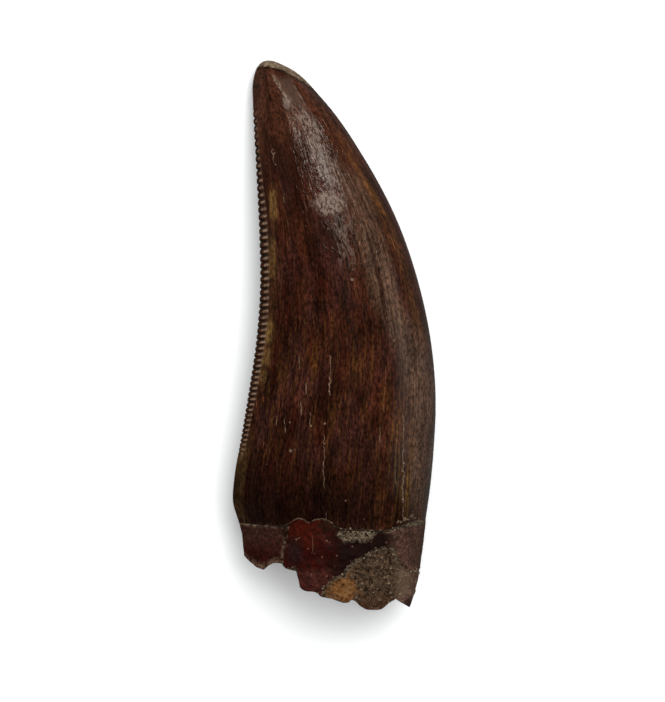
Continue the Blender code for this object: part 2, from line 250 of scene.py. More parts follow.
PORES = [
    (-3.45, -18.80, 0.11), (-3.20, -18.66, 0.08), (-0.68, -18.89, 0.09), (-1.11, -20.37, 0.09),
    (0.24, -20.25, 0.09), (1.66, -19.39, 0.09), (-2.10, -21.97, 0.09), (-0.68, -22.10, 0.07),
    (-2.41, -19.63, 0.07), (-1.79, -20.06, 0.06), (6.45, -18.85, 0.10), (4.75, -19.05, 0.07),
]
TIP_SPOTS = [(-6.20, 24.66, 0.10), (-6.62, 24.72, 0.08), (-5.90, 24.62, 0.06), (-6.95, 24.45, 0.09)]
SPOT_EDGE = (1.2, 0.4)
OCHRE_STRETCHES = [(13.2, 10.6), (8.9, 5.1), (1.2, -0.9), (-1.4, -2.8), (-3.4, -4.6)]
STRETCH_FADE = 0.3

# Soft patches of colour, as (x, y, radius along x, radius along y, raggedness, softness).
PATCHES = {
    "yellow": (5.90, -12.40, 1.60, 4.60, 0.8, 0.50),
    # Painted highlight on the ridge: the bright patch below its line, and the blot near the tip
    "rubbed": (-0.45, 11.95, 1.50, 1.05, 1.1, 0.26),
    "blot": (-4.35, 21.35, 0.42, 0.62, 1.3, 0.30),
    "lit tongue": (-2.60, -18.00, 1.80, 1.30, 1.0, 0.70),
    "bluish": (-3.65, -19.95, 0.75, 1.25, 1.0, 0.50),
    "stain": (-0.62, -17.55, 0.80, 0.60, 1.0, 0.35),
    "corner": (6.95, -24.85, 0.42, 0.75, 1.2, 0.40),
    "crumbs": (1.97, -18.34, 1.75, 0.66, 2.0, 0.20),
    "crumbs by the blunt edge": (6.77, -17.22, 1.50, 0.42, 2.0, 0.20),
    "tan": (0.85, -23.25, 1.35, 1.20, 2.2, 0.25),
}

# Streaks along the enamel, as (per mm across, per mm along, seed, start, full).
STREAKS = {
    "broad": (1.3, 0.12, 4.0, 0.42, 0.62),
    "olive": (3.4, 0.22, 9.0, 0.50, 0.64),
    "dark": (5.0, 0.50, 13.0, 0.46, 0.60),
    "combed": (6.5, 0.16, 35.0, 0.38, 0.60),
    "light": (8.0, 0.45, 1.0, 0.56, 0.70),
    "yellow": (6.0, 0.08, 21.0, 0.50, 0.62),
    "relief": (4.5, 0.12, 61.0, 0.30, 0.70),
}

# Braided wrinkles near the ridge, for its painted highlight and its relief, as (per mm across, per mm along,
# seed).
WRINKLES = {
    "braids": (1.45, 0.50, 3.0),
    "finer": (2.9, 0.9, 45.0),
    "crazed": (3.8, 1.7, 63.0),
    "relief": (1.25, 0.62, 3.0),
    "fine relief": (2.3, 0.9, 17.0),
}

# The stage: half the surface's side, the point that the lights face, and the camera's place. The lights are
# (name, place, size, power, colour), in metres and watts.
SURFACE_REACH = 1.5
AIM = (0.0, 0.0, 0.004)
LIGHT_ON_FLOOR = (0.99, 1.0, 1.0)
FLOOR_LIGHTS = [
    ("floor_light", (0.36, 0.42, 0.74), (0.9, 0.9), 8.2, LIGHT_ON_FLOOR),
    ("floor_fill", (0.02, 0.10, 1.0), (2.2, 2.2), 22.0, LIGHT_ON_FLOOR),
]
TOOTH_LIGHTS = [
    ("ridge_light", (-0.10, 0.50, 0.70), (0.05, 0.05), 3.1, (1.0, 0.90, 0.80)),
    ("window_light", (0.85, 0.10, 0.55), (0.6, 0.5), 0.9, (1.0, 0.92, 0.84)),
]
ROOM_LIGHT = 0.04
PAPER_SEEN = (0.95, 0.95, 0.95)
PAPER_IN_REFLECTIONS = (0.12, 0.11, 0.10)
CAMERA_X, CAMERA_Y = -0.00016, -0.00157
TOOTH_MIDDLE_HEIGHT = 0.0044

# How nodes are laid out in an editor: the step between them, and how many stand side by side.
NODE_STEP = (190.0, -240.0)
NODES_IN_ROW = 14


def smoothstep(low, high, value):
    share = np.clip((value - low) / (high - low), 0.0, 1.0)
    return share * share * (3.0 - 2.0 * share)


class Edge:
    """A smooth curve through points, read by the share of its length from its first point."""

    def __init__(self, points):
        corners = np.array(points, float)
        chords = np.linalg.norm(np.diff(corners, axis=0), axis=1)
        slopes = np.gradient(corners, np.concatenate([[0.0], np.cumsum(chords)]), axis=0)
        t = np.linspace(0.0, 1.0, CURVE_STEPS, endpoint=False)[:, None]
        pieces = [
            (2 * t**3 - 3 * t**2 + 1) * corners[i]
            + (t**3 - 2 * t**2 + t) * chord * slopes[i]
            + (3 * t**2 - 2 * t**3) * corners[i + 1]
            + (t**3 - t**2) * chord * slopes[i + 1]
            for i, chord in enumerate(chords)
        ]
        self.dense = np.concatenate(pieces + [corners[-1:]])
        steps = np.linalg.norm(np.diff(self.dense, axis=0), axis=1)
        self.at = np.concatenate([[0.0], np.cumsum(steps)])
        self.length = self.at[-1]

    def point(self, share):
        at = share * self.length
        return np.array([np.interp(at, self.at, column) for column in self.dense.T])


def read_line(points, x):
    """The second value of (x, value) points, along straight lines between them."""
    return np.interp(x, [p[0] for p in points], [p[1] for p in points])


def read_curve(values, share):
    """A smoothed value from a list at even steps from 0 to 1."""
    fine = np.interp(np.linspace(0.0, 1.0, 201), np.linspace(0.0, 1.0, len(values)), values)
    rounded = np.convolve(np.pad(fine, 20, mode="edge"), np.ones(41) / 41, "valid")
    return float(np.interp(share, np.linspace(0.0, 1.0, 201), rounded))


def face_profile(s, thickest_at):
    """How full a face is, 0 to 1, at share s of the way from the cutting edge to the blunt edge."""
    wedge = 1.0 - np.clip(1.0 - s / thickest_at, 0.0, 1.0) ** WEDGE_POWERS[0]
    rounded = 1.0 - np.clip(1.0 - (1.0 - s) / (1.0 - thickest_at), 0.0, 1.0) ** ROUND_POWERS[0]
    return np.where(s < thickest_at, wedge ** WEDGE_POWERS[1], rounded ** ROUND_POWERS[1])


def shares_across(width):
    """Where a ring's points lie across a face: close together by the cutting edge, then more even."""
    near = np.array(EDGE_STEPS) / max(width, NARROW_RING)
    angle = np.linspace(math.acos(1.0 - 2.0 * near[-1]), math.pi, POINTS_PER_FACE + 2 - len(near))
    return np.concatenate([near, (1.0 - np.cos(angle[1:])) / 2.0])


def both_faces(upper, under):
    """A ring's values from its upper and under faces, which share their two end points."""
    return np.concatenate([upper, under[-2:0:-1]])


def signed_distance(points, outline):
    """Each point's distance from a closed outline, positive inside it."""
    corners = np.array(outline)
    best = np.full(len(points), np.inf)
    inside = np.zeros(len(points), bool)
    for a, b in zip(corners, np.roll(corners, -1, axis=0)):
        along = np.clip(((points - a) @ (b - a)) / ((b - a) @ (b - a)), 0.0, 1.0)
        best = np.minimum(best, np.linalg.norm(points - a - along[:, None] * (b - a), axis=1))
        crosses = (a[1] > points[:, 1]) != (b[1] > points[:, 1])
        with np.errstate(divide="ignore", invalid="ignore"):
            at_x = a[0] + (points[:, 1] - a[1]) / (b[1] - a[1]) * (b[0] - a[0])
        inside ^= crosses & (points[:, 0] < at_x)
    return np.where(inside, best, -best)


def crown_stations(edge_length):
    """(distance down the cutting edge from the apex, denticle phase, row strength) for each crown ring."""
    uneven = np.random.default_rng(11)
    stations = [(ROW_START * ((i + 1) / (TIP_RINGS + 1)) ** 2, CREST, 0.0) for i in range(TIP_RINGS)]
    at, denticle, before = ROW_START, 0, 1.0
    while at < ROW_END:
        share = (at - ROW_START) / (ROW_END - ROW_START)
        pitch = PITCH_AT_TIP - PITCH_DROP * share**PITCH_DROP_POWER
        fade = smoothstep(0.0, ROW_FADE_IN, share) * (1.0 - smoothstep(1.0 - ROW_FADE_OUT, 1.0, share))
        after = uneven.uniform(0.78, 1.0)
        for phase in DENTICLE_PHASES:
            worn = before if phase < CREST else after
            stations.append((at + phase * pitch, denticle + phase, fade * worn))
        at, denticle, before = at + pitch, denticle + 1, after
    return stations + [(float(neck), CREST, 0.0) for neck in np.linspace(at, edge_length, NECK_RINGS)]


def crown_ring(cutting, blunt, distance, phase, fade):
    """One ring of the crown, before the serration is cut, with its fields."""
    share = 1.0 - distance / cutting.length
    start, end = cutting.point(share), blunt.point(share)
    width = float(np.linalg.norm(end - start))
    s = shares_across(width)
    upper = width * read_curve(THICKNESS_SHARE, share) * UPPER_SHARE_OF_THICKNESS
    under = width * read_curve(THICKNESS_SHARE, share) - upper
    lift = APEX_HEIGHT * (1.0 - smoothstep(0.0, TIP_WIDTH, width))
    middle = read_curve(UNDERSIDE_HEIGHT, share) + under + lift
    profile = worn_profile(s, width, share, distance)
    top = upper * profile
    bottom = under * face_profile(s, THICKEST_AT_UNDER)
    line = start + s[:, None] * (end - start)
    upper_face = np.column_stack([line, middle + top])
    under_face = np.column_stack([line, middle - bottom])
    bend = 1.0 - smoothstep(0.0, MARGIN_REACH, share)
    upper_face[:, 1] += bend * (margin_line(upper_face[:, 0], MARGIN_UPPER) - CUTTING_EDGE[0][1])
    under_face[:, 1] += bend * (margin_line(under_face[:, 0], MARGIN_UNDER) - CUTTING_EDGE[0][1])
    upness = both_faces(top / upper, -bottom / under)
    across = both_faces(s, s)
    return {
        "co": both_faces(upper_face, under_face),
        "from_edge": across * width,
        "from_blunt": (1.0 - across) * width,
        "upness": upness,
        "row_phase": np.full(len(across), phase),
        "row_fade": np.full(len(across), fade),
        "row_reach": np.full(len(across), read_line(ROW_REACH, distance)),
        "break_share": np.zeros(len(across)),
        "stump_share": np.zeros(len(across)),
        "inward": np.tile([*(end - start) / width, 0.0], (len(across), 1)),
        "to_plane": np.column_stack([np.zeros((len(across), 2)), both_faces(-top, bottom)]),
        "flow": np.column_stack([across * FLOW_WIDTH, np.full(len(across), distance), upness * FLOW_HEIGHT]),
    }


def margin_line(x, points):
    """The enamel's margin with the fine raggedness of a broken edge."""
    ragged = np.array([noise.noise(Vector((v * 2.6, points[1][1], 0.0))) for v in x])
    return read_line(points, x) + MARGIN_RAGGEDNESS * ragged


def worn_profile(s, width, share, distance):
    """The upper face's profile, with the flat strip and the bevel of wear near the tip."""
    full = face_profile(s, THICKEST_AT_UPPER)
    strip = smoothstep(STRIP_FROM, STRIP_FULL, share)
    full = full + strip * (np.minimum(full, STRIP_HEIGHT_SHARE) - full)
    bevel = WEAR_LOW_SHARE + (1.0 - WEAR_LOW_SHARE) * (1.0 - s) * width / WEAR_WIDTH
    worn = smoothstep(0.0, WEAR_FADE, 1.0 - distance / WEAR_LENGTH)
    return full + worn * (np.minimum(full, bevel) - full)


def roughness(point):
    return noise.fractal(Vector(point) / ROUGHNESS_SIZE, 1.0, 2.0, 3)


def between_sides(margin_x, y):
    """Where points of the enamel's margin lie across the stump, at heights y."""
    left = np.interp(-y, [-p[1] for p in ROOT_CUTTING_SIDE], [p[0] for p in ROOT_CUTTING_SIDE])
    right = np.interp(-y, [-p[1] for p in ROOT_BLUNT_SIDE], [p[0] for p in ROOT_BLUNT_SIDE])
    return left + (margin_x - margin_x.min()) / np.ptp(margin_x) * (right - left)


def break_rim(margin, upper):
    """The heights at which the lines down the stump meet the break, found in a few steps."""
    x = margin[:, 0]
    for _ in range(RIM_STEPS):
        rim_y = np.where(upper, read_line(BREAK_UPPER, x), read_line(BREAK_UNDER, x))
        x = between_sides(margin[:, 0], rim_y)
    return rim_y


def root_ring(margin, depth):
    """One ring of the root stump, at a share of the way from the enamel's margin to the break."""
    base = margin["co"]
    ring = base.copy()
    upper = np.arange(len(ring)) <= POINTS_PER_FACE
    ring[:, 1] += depth * (break_rim(base, upper) - ring[:, 1])
    ring[:, 0] = between_sides(base[:, 0], ring[:, 1])
    outward = ring - ring.mean(axis=0)
    outward[:, 1] = 0.0
    outward /= np.linalg.norm(outward, axis=1)[:, None]
    leaned = ring[:, 0] - TONGUE_LEAN * (ring[:, 1] - TONGUE_FOOT)
    ledge = np.where(upper, read_line(LEDGE_UPPER, leaned), LEDGE_UNDER)
    ledge *= smoothstep(0.1, 0.6, np.abs(outward[:, 2]))
    relief = ROOT_ROUGHNESS * np.array([roughness(point) for point in ring])
    relief = relief * smoothstep(0.0, 0.3, depth) * np.abs(outward[:, 2])
    fields = dict(margin)
    fields["co"] = ring + outward * (relief - ledge * smoothstep(0.0, LEDGE_LAST_RING, depth))[:, None]
    fields["stump_share"] = np.full(len(ring), depth)
    fields["to_plane"] = np.zeros_like(base)
    fields["flow"] = margin["flow"] + [0.0, 1.0, 0.0] * (base[:, 1] - ring[:, 1])[:, None]
    return fields


def break_ring(rim, share):
    """One ring of the broken end, at a share of the way from its rim to its middle."""
    base = rim["co"]
    ring = base.copy()
    middle = base.mean(axis=0)
    ring[:, [0, 2]] = middle[[0, 2]] + (base[:, [0, 2]] - middle[[0, 2]]) * (1.0 - share)
    upper = np.arange(len(ring)) <= POINTS_PER_FACE
    rims = (BREAK_UPPER, BREAK_UNDER)
    along_rim = [read_line(line, ring[:, 0]) - read_line(line, base[:, 0]) for line in rims]
    ring[:, 1] += np.where(upper, *along_rim) + RIM_TUCK * smoothstep(0.0, RIM_TUCK_SHARE, share)
    away_from_rim = smoothstep(0.0, BREAK_RIM_SHARE, share)
    floor = read_line(BREAK_FLOOR, ring[:, 0]) + BREAK_HOLLOW * smoothstep(0.1, 0.8, share)
    bumps = BREAK_ROUGHNESS * np.array([roughness((x, 0.0, z)) for x, _, z in ring])
    ring[:, 1] += away_from_rim * (floor + bumps - ring[:, 1])
    fields = dict(rim)
    fields["co"] = ring
    fields["break_share"] = np.full(len(ring), share)
    return fields


def tooth_rings():
    """Every ring's points and fields, stacked, and the apex."""
    cutting, blunt = Edge(CUTTING_EDGE), Edge(BLUNT_EDGE)
    rings = [crown_ring(cutting, blunt, *station) for station in crown_stations(cutting.length)]
    margin = rings[-1]
    depths = [*LEDGE_STEPS, *np.linspace(LEDGE_STEPS[-1] * 1.5, 1.0, ROOT_RINGS)]
    rings += [root_ring(margin, depth) for depth in depths]
    rim = rings[-1]
    rings += [break_ring(rim, (i + 1) / (BREAK_RINGS + 1)) for i in range(BREAK_RINGS)]
    fields = {name: np.stack([ring[name] for ring in rings]) for name in rings[0]}
    apex = np.array([*CUTTING_EDGE[-1], read_curve(UNDERSIDE_HEIGHT, 1.0) + APEX_HEIGHT])
    return apex, fields


def surface_fields(points, upper, break_share):
    """Fields that follow from where each point lies: below the enamel, in the crust, and so on."""
    margin = np.where(upper, margin_line(points[:, 0], MARGIN_UPPER), margin_line(points[:, 0], MARGIN_UNDER))
    crust = np.where(upper, signed_distance(points[:, :2], CRUST_OUTLINE), OUTSIDE)
    tongue = np.where(upper, signed_distance(points[:, :2], TONGUE_OUTLINE), OUTSIDE)
    wear = signed_distance(points[:, :2], WEAR_OUTLINE)
    below = margin - points[:, 1]
    density = np.zeros(len(points))
    for centre, radii, share in GRAIN_PATCHES:
        away = (((points[:, :2] - centre) / radii) ** 2).sum(axis=1)
        density = np.maximum(density, share * (1.0 - smoothstep(0.6, 1.1, away)) * upper)
    on_margin = (np.abs(below) < MARGIN_GRAIN_REACH) & upper & (points[:, 0] > MARGIN_GRAINS_FROM_X)
    density = np.maximum(density, GRAINS_ON_MARGIN * on_margin)
    on_rim = (np.abs(crust) < RIM_GRAIN_REACH) & upper & (below > RIM_GRAINS_BELOW_MARGIN)
    on_rim &= points[:, 1] > RIM_GRAINS_ABOVE_Y
    density = np.maximum(density, GRAINS_ON_RIM * on_rim)
    density = np.maximum(density, GRAINS_ON_BREAK * (break_share > BREAK_GRAINS_FROM))
    density *= points[:, 1] > CAD_BOX[0][1] / MM + END_WITHOUT_GRAINS
    return {
        "below_margin": below, "crust": crust, "tongue": tongue, "wear_depth": wear, "grain_density": density,
        "from_ridge": points[:, 0] - read_line(RIDGE_LINE, points[:, 1]),
        "grey_middle": read_line(REFLECTION_BAND, points[:, 1]),
    }


def loft(name):
    """A mesh through the rings, closed by a fan at each end, with its fields as attributes."""
    apex, fields = tooth_rings()
    rows, size = fields["co"].shape[:2]
    flat = {key: value.reshape(rows * size, -1) for key, value in fields.items()}
    flat = {key: np.concatenate([value[:1], value, value[-1:]]) for key, value in flat.items()}
    flat["co"][0] = apex
    flat["co"][-1] = fields["co"][-1].mean(axis=0)
    upper = np.concatenate([[True], np.tile(np.arange(size) <= POINTS_PER_FACE, rows), [False]])
    points = flat.pop("co")
    flat.update(surface_fields(points, upper, flat["break_share"][:, 0]))
    flat["crust_lift"] = smoothstep(-0.10, 0.35, flat["crust"]) * (flat["break_share"][:, 0] < 0.02)
    flat["crust_lift"] *= smoothstep(0.1, 1.4, flat["from_blunt"][:, 0])
    middle = (points[:-1].min(axis=0) + points[:-1].max(axis=0)) / 2.0 * (1.0, 1.0, 0.0)
    this = 1 + (np.arange(rows - 1)[:, None] * size + np.arange(size))
    beside = np.roll(this, -1, axis=1)
    quads = np.stack([this, beside, beside + size, this + size], axis=-1).reshape(-1, 4)
    ring = np.arange(size)
    after = (ring + 1) % size
    last, end = 1 + (rows - 1) * size, len(points) - 1
    faces = quads.tolist()
    faces += [(0, int(1 + b), int(1 + a)) for a, b in zip(ring, after)]
    faces += [(int(last + a), int(last + b), end) for a, b in zip(ring, after)]
    mesh = bpy.data.meshes.new(name)
    mesh.from_pydata(((points - middle) * MM).tolist(), [], faces)
    for key, values in flat.items():
        store_field(mesh, key, np.asarray(values, float))
    mesh.shade_smooth()
    return mesh


def store_field(mesh, name, values):
    if values.ndim == 2 and values.shape[1] == 3:
        mesh.attributes.new(name, "FLOAT_VECTOR", "POINT").data.foreach_set("vector", values.ravel())
    else:
        mesh.attributes.new(name, "FLOAT", "POINT").data.foreach_set("value", values.ravel())


class Wiring:
    """Short calls that add nodes to one tree and link them."""

    def __init__(self, tree, groups=None):
        self.tree = tree
        self.groups = groups

    def feed(self, socket, value):
        """Links a value to a socket, or sets it as the socket's own."""
        if isinstance(value, bpy.types.NodeSocket):
            self.tree.links.new(value, socket)
        elif socket.type == "RGBA":
            socket.default_value = (*value, 1.0)
        else:
            socket.default_value = value

    def add(self, kind, inputs=None, output=0, **settings):
        """A node with its settings and inputs (by name or number), as its chosen output."""
        node = self.tree.nodes.new(kind)
        row, place = divmod(len(self.tree.nodes), NODES_IN_ROW)
        node.location = (NODE_STEP[0] * place, NODE_STEP[1] * row)
        for key, value in settings.items():
            setattr(node, key, value)
        for key, value in (inputs or {}).items():
            self.feed(node.inputs[key], value)
        return node.outputs[output] if len(node.outputs) else node

    def math(self, operation, a, b=0.0, clamp=False):
        return self.add("ShaderNodeMath", {0: a, 1: b}, operation=operation, use_clamp=clamp)

    def times(self, first, *others):
        for other in others:
            first = self.math("MULTIPLY", first, other)
        return first

    def plus(self, first, *others):
        for other in others:
            first = self.math("ADD", first, other)
        return first

    def most(self, first, *others):
        for other in others:
            first = self.math("MAXIMUM", first, other)
        return first

    def minus(self, a, b):
        return self.math("SUBTRACT", a, b)

    def apart(self, a, b):
        """How far two values lie from each other."""
        return self.math("ABSOLUTE", self.minus(a, b))

    def rest(self, value):
        return self.math("SUBTRACT", 1.0, value, clamp=True)

    def ramp(self, value, low, high, to_low=0.0, to_high=1.0):
        """A smooth ramp from low to high, which may run downhill."""
        inputs = {"Value": value, "From Min": low, "From Max": high, "To Min": to_low, "To Max": to_high}
        return self.add("ShaderNodeMapRange", inputs, interpolation_type="SMOOTHSTEP")

    def eased(self, mask, low, high):
        """A mask whose 0 and 1 become low and high."""
        return self.ramp(mask, 0.0, 1.0, low, high)

    def band(self, value, start, full, end, gone):
        """1 between full and end, fading to 0 at start and gone."""
        return self.times(self.ramp(value, start, full), self.ramp(value, end, gone, 1.0, 0.0))

    def vector(self, operation, a, b):
        return self.add("ShaderNodeVectorMath", {0: a, 1: b}, operation=operation)

    def scaled(self, vector, factor):
        """A vector or a colour times a number."""
        return self.add("ShaderNodeVectorMath", {0: vector, "Scale": factor}, operation="SCALE")

    def join(self, x, y, z):
        return self.add("ShaderNodeCombineXYZ", {"X": x, "Y": y, "Z": z})

    def split(self, vector):
        return self.add("ShaderNodeSeparateXYZ", {0: vector}).node.outputs

    def noise(self, vector, scale=1.0, seed=0.0, detail=2.0, rough=0.5, distort=0.0):
        inputs = {
            "Vector": vector, "W": seed, "Scale": scale, "Detail": detail, "Roughness": rough,
            "Distortion": distort,
        }
        return self.add("ShaderNodeTexNoise", inputs, noise_dimensions="4D")

    def stretched(self, vector, factors, seed, **settings):
        """Noise whose scale differs for each axis."""
        return self.noise(self.vector("MULTIPLY", vector, factors), 1.0, seed, **settings)

    def around(self, value, middle=0.5):
        """A noise's value as more or less than its middle."""
        return self.plus(value, -middle)

    def mix(self, factor, a, b):
        """A colour between two colours."""
        return self.add("ShaderNodeMix", {0: factor, 6: a, 7: b}, output=2, data_type="RGBA")

    def blend(self, factor, a, b):
        """A number between two numbers."""
        return self.add("ShaderNodeMix", {0: factor, 2: a, 3: b}, data_type="FLOAT")

    def group(self, name, **inputs):
        """A shared node group, with its inputs named in lower case, with _ for a space."""
        inputs = {key.replace("_", " ").capitalize(): value for key, value in inputs.items()}
        return self.add("ShaderNodeGroup", inputs, node_tree=self.groups[name])


def make_group(name, inputs, output, build):
    """A shader node group: its inputs are (name, default), and its one output is (name, socket type)."""
    tree = bpy.data.node_groups.new(name, "ShaderNodeTree")
    for label, default in inputs:
        kind = "NodeSocketVector" if isinstance(default, tuple) else "NodeSocketFloat"
        tree.interface.new_socket(name=label, in_out="INPUT", socket_type=kind).default_value = default
    tree.interface.new_socket(name=output[0], in_out="OUTPUT", socket_type=output[1])
    w = Wiring(tree)
    given = tree.nodes.new("NodeGroupInput")
    result = build(w, *[given.outputs[label] for label, _ in inputs])
    tree.links.new(result, tree.nodes.new("NodeGroupOutput").inputs[0])
    return tree


def hairline_crack(w, position, bend, line_x, from_y, to_y, wiggle, width):
    x, y, _ = w.split(position)
    away = w.math("ABSOLUTE", w.plus(w.minus(x, line_x), w.times(bend, wiggle, 2.0)))
    line = w.rest(w.math("DIVIDE", away, width))
    ends = w.times(w.ramp(w.minus(y, to_y), 0.0, 0.3), w.ramp(w.minus(from_y, y), 0.0, 0.3))
    return w.times(w.ramp(line, 0.0, 0.6), ends)


def soft_patch(w, position, bend, centre, radii, raggedness, softness):
    away = w.vector("DIVIDE", w.vector("SUBTRACT", position, centre), radii)
    flat = w.vector("MULTIPLY", away, (1.0, 1.0, 0.0))
    length = w.add("ShaderNodeVectorMath", {0: flat}, 1, operation="LENGTH")
    return w.ramp(w.plus(length, w.times(bend, raggedness)), w.plus(1.0, softness), w.minus(1.0, softness))


def grain_streaks(w, flow, across, along, seed, start, full):
    shape = w.join(across, along, w.times(across, 0.3))
    drift = w.times(w.around(w.noise(flow, 0.10, 7.0, detail=1.0)), 1.6)
    bent = w.vector("ADD", flow, w.join(drift, 0.0, 0.0))
    return w.ramp(w.stretched(bent, shape, seed, detail=3.0, rough=0.6), start, full)


def braided_wrinkles(w, flow, across, along, seed):
    shape = w.join(across, along, w.times(across, 0.5))
    strands = w.stretched(flow, shape, seed, detail=2.5, rough=0.55, distort=0.9)
    return w.ramp(w.rest(w.times(w.apart(strands, 0.5), 5.0)), 0.0, 1.0)


def scattered_pores(w, position, spacing, size, share):
    cells = w.add("ShaderNodeTexVoronoi", {"Vector": position, "Scale": w.math("DIVIDE", 1.0, spacing)}).node
    reach = w.math("DIVIDE", size, spacing)
    chosen = w.math("LESS_THAN", w.split(cells.outputs["Color"])[0], share)
    return w.times(w.ramp(cells.outputs["Distance"], reach, w.times(reach, 0.55)), chosen)


def make_groups():
    """The shader groups that the tooth's materials share."""
    here = ("Position", (0.0, 0.0, 0.0))
    flow = ("Flow", (0.0, 0.0, 0.0))
    bend = ("Bend", 0.0)
    mask = ("Mask", "NodeSocketFloat")
    return {
        "crack": make_group(
            "hairline_crack",
            [here, bend, ("Line x", 0.0), ("From y", 1.0), ("To y", -1.0), ("Wiggle", 0.3), ("Width", 0.05)],
            mask, hairline_crack,
        ),
        "patch": make_group(
            "soft_patch",
            [here, bend, ("Centre", (0.0, 0.0, 0.0)), ("Radii", (1.0, 1.0, 1.0)), ("Raggedness", 0.5),
             ("Softness", 0.2)],
            mask, soft_patch,
        ),
        "streaks": make_group(
            "grain_streaks",
            [flow, ("Across", 3.0), ("Along", 0.12), ("Seed", 0.0), ("Start", 0.5), ("Full", 0.7)],
            mask, grain_streaks,
        ),
        "wrinkles": make_group(
            "braided_wrinkles", [flow, ("Across", 1.6), ("Along", 0.7), ("Seed", 0.0)],
            ("Height", "NodeSocketFloat"), braided_wrinkles,
        ),
        "pores": make_group(
            "scattered_pores", [here, ("Spacing", 0.8), ("Size", 0.1), ("Share", 0.5)], mask, scattered_pores,
        ),
    }


def rgb(red, green, blue):
    """A linear colour from 8-bit display values."""
    def linear(value):
        value /= 255.0
        return value / 12.92 if value <= 0.04045 else ((value + 0.055) / 1.055) ** 2.4
    return (linear(red), linear(green), linear(blue))


def attribute(w, name, output="Fac"):
    return w.add("ShaderNodeAttribute", output=output, attribute_name=name, attribute_type="GEOMETRY")


def draw_streaks(w, flow, kind):
    across, along, seed, start, full = STREAKS[kind]
    return w.group("streaks", flow=flow, across=across, along=along, seed=seed, start=start, full=full)


def draw_wrinkles(w, flow, kind):
    across, along, seed = WRINKLES[kind]
    return w.group("wrinkles", flow=flow, across=across, along=along, seed=seed)


def draw_patch(w, place, x, y, radius_x, radius_y, raggedness, softness):
    return w.group("patch", position=place["position"], bend=place["bend"], centre=(x, y, 0.0),
                   radii=(radius_x, radius_y, 1.0), raggedness=raggedness, softness=softness)


def draw_spots(w, place, spots):
    return w.most(*[draw_patch(w, place, x, y, radius, radius, *SPOT_EDGE) for x, y, radius in spots])


def draw_crack(w, place, line_x, from_y, to_y, wiggle, width):
    return w.group("crack", position=place["position"], bend=place["bend"], line_x=line_x, from_y=from_y,
                   to_y=to_y, wiggle=wiggle, width=width)


def enamel_colour(w, place, colours):
    """The crown's colour with wear, cracks and painted ridge highlight; masks of wear and highlight, and of
    marks.
    """
    flow, x, y = place["flow"], place["x"], place["y"]
    clouds = w.stretched(flow, (0.45, 0.10, 0.3), 2.0, detail=4.0, rough=0.6)
    colour = w.mix(w.ramp(clouds, 0.35, 0.68), colours.enamel_dark, colours.enamel)
    colour = w.mix(w.times(draw_streaks(w, flow, "broad"), 0.62), colour, colours.enamel_red)
    plum = w.stretched(flow, (0.34, 0.17, 0.3), 27.0, detail=3.0)
    colour = w.mix(w.times(w.ramp(plum, 0.46, 0.60), 0.6), colour, colours.plum)
    olive = w.times(draw_streaks(w, flow, "olive"), w.ramp(y, 9.0, -3.0, 0.30, 1.0), 0.7)
    colour = w.mix(olive, colour, colours.olive)
    colour = w.mix(w.times(draw_streaks(w, flow, "dark"), 0.5), colour, colours.enamel_deep)
    colour = edge_colour(w, place, colours, colour, draw_streaks(w, flow, "combed"))
    colour = w.mix(w.times(draw_streaks(w, flow, "light"), 0.62), colour, colours.streak_light)
    colour = w.mix(w.times(w.ramp(y, 12.0, 21.0), 0.50), colour, colours.tip)
    deep = w.times(w.band(y, -18.3, -17.0, -15.0, -9.0), w.ramp(x, 7.0, -1.0, 0.35, 1.0),
                   w.ramp(clouds, 0.2, 0.6, 0.5, 1.0), 0.8)
    colour = w.mix(deep, colour, colours.enamel_deep)
    yellow = w.times(draw_streaks(w, flow, "yellow"), draw_patch(w, place, *PATCHES["yellow"]), 0.6)
    colour = w.mix(yellow, colour, colours.yellow_streak)
    grain, colour = enamel_grain(w, place, colour)
    # Painted highlight along the ridge in a pale colour, which also makes the enamel rougher there
    painted_highlight = ridge_highlight(w, place, grain)
    colour = w.mix(painted_highlight, colour, colours.painted_highlight)
    colour = row_colour(w, place, colours, colour)
    marks = enamel_marks(w, place, grain)
    colour = w.mix(w.times(marks, 0.8), colour, colours.crack)
    colour, worn = tip_colour(w, place, colours, colour, grain)
    return colour, w.most(worn, w.times(painted_highlight, 0.5)), marks


def enamel_grain(w, place, colour):
    """The fine grain, which leans with the crown's curve, and the colour with it and a broad shade on it."""
    x, y, z = w.split(place["position"])
    lean = w.times(w.math("POWER", w.math("MAXIMUM", w.plus(y, -3.0), 0.0), 2.0), 0.014)
    grain = w.stretched(w.join(w.plus(x, lean), y, z), (5.6, 2.3, 3.4), 33.0, detail=3.0, rough=0.65)
    strong, calm = [w.ramp(grain, 0.34, 0.66, *ends) for ends in ((0.48, 2.06), (0.70, 1.78))]
    colour = w.scaled(colour, w.blend(w.band(y, 7.0, 11.0, 17.0, 20.0), strong, calm))
    shade = w.stretched(place["flow"], (0.62, 0.24, 0.4), 77.0, detail=4.0, rough=0.62)
    return grain, w.scaled(colour, w.ramp(shade, 0.38, 0.62, 0.66, 1.36))


def enamel_marks(w, place, grain):
    """A mask of the cracks, chips and dust on the enamel."""
    marks = w.most(*[draw_crack(w, place, *crack) for crack in CRACKS], draw_spots(w, place, CHIPS))
    marks = w.times(marks, w.ramp(place["bend"], -0.16, 0.0, 0.25, 1.0), w.ramp(grain, 0.36, 0.52, 0.35, 1.0))
    dust = w.group("pores", position=place["position"], spacing=0.9, size=0.07, share=0.10)
    return w.most(w.times(marks, place["above"]), w.times(dust, 0.45))


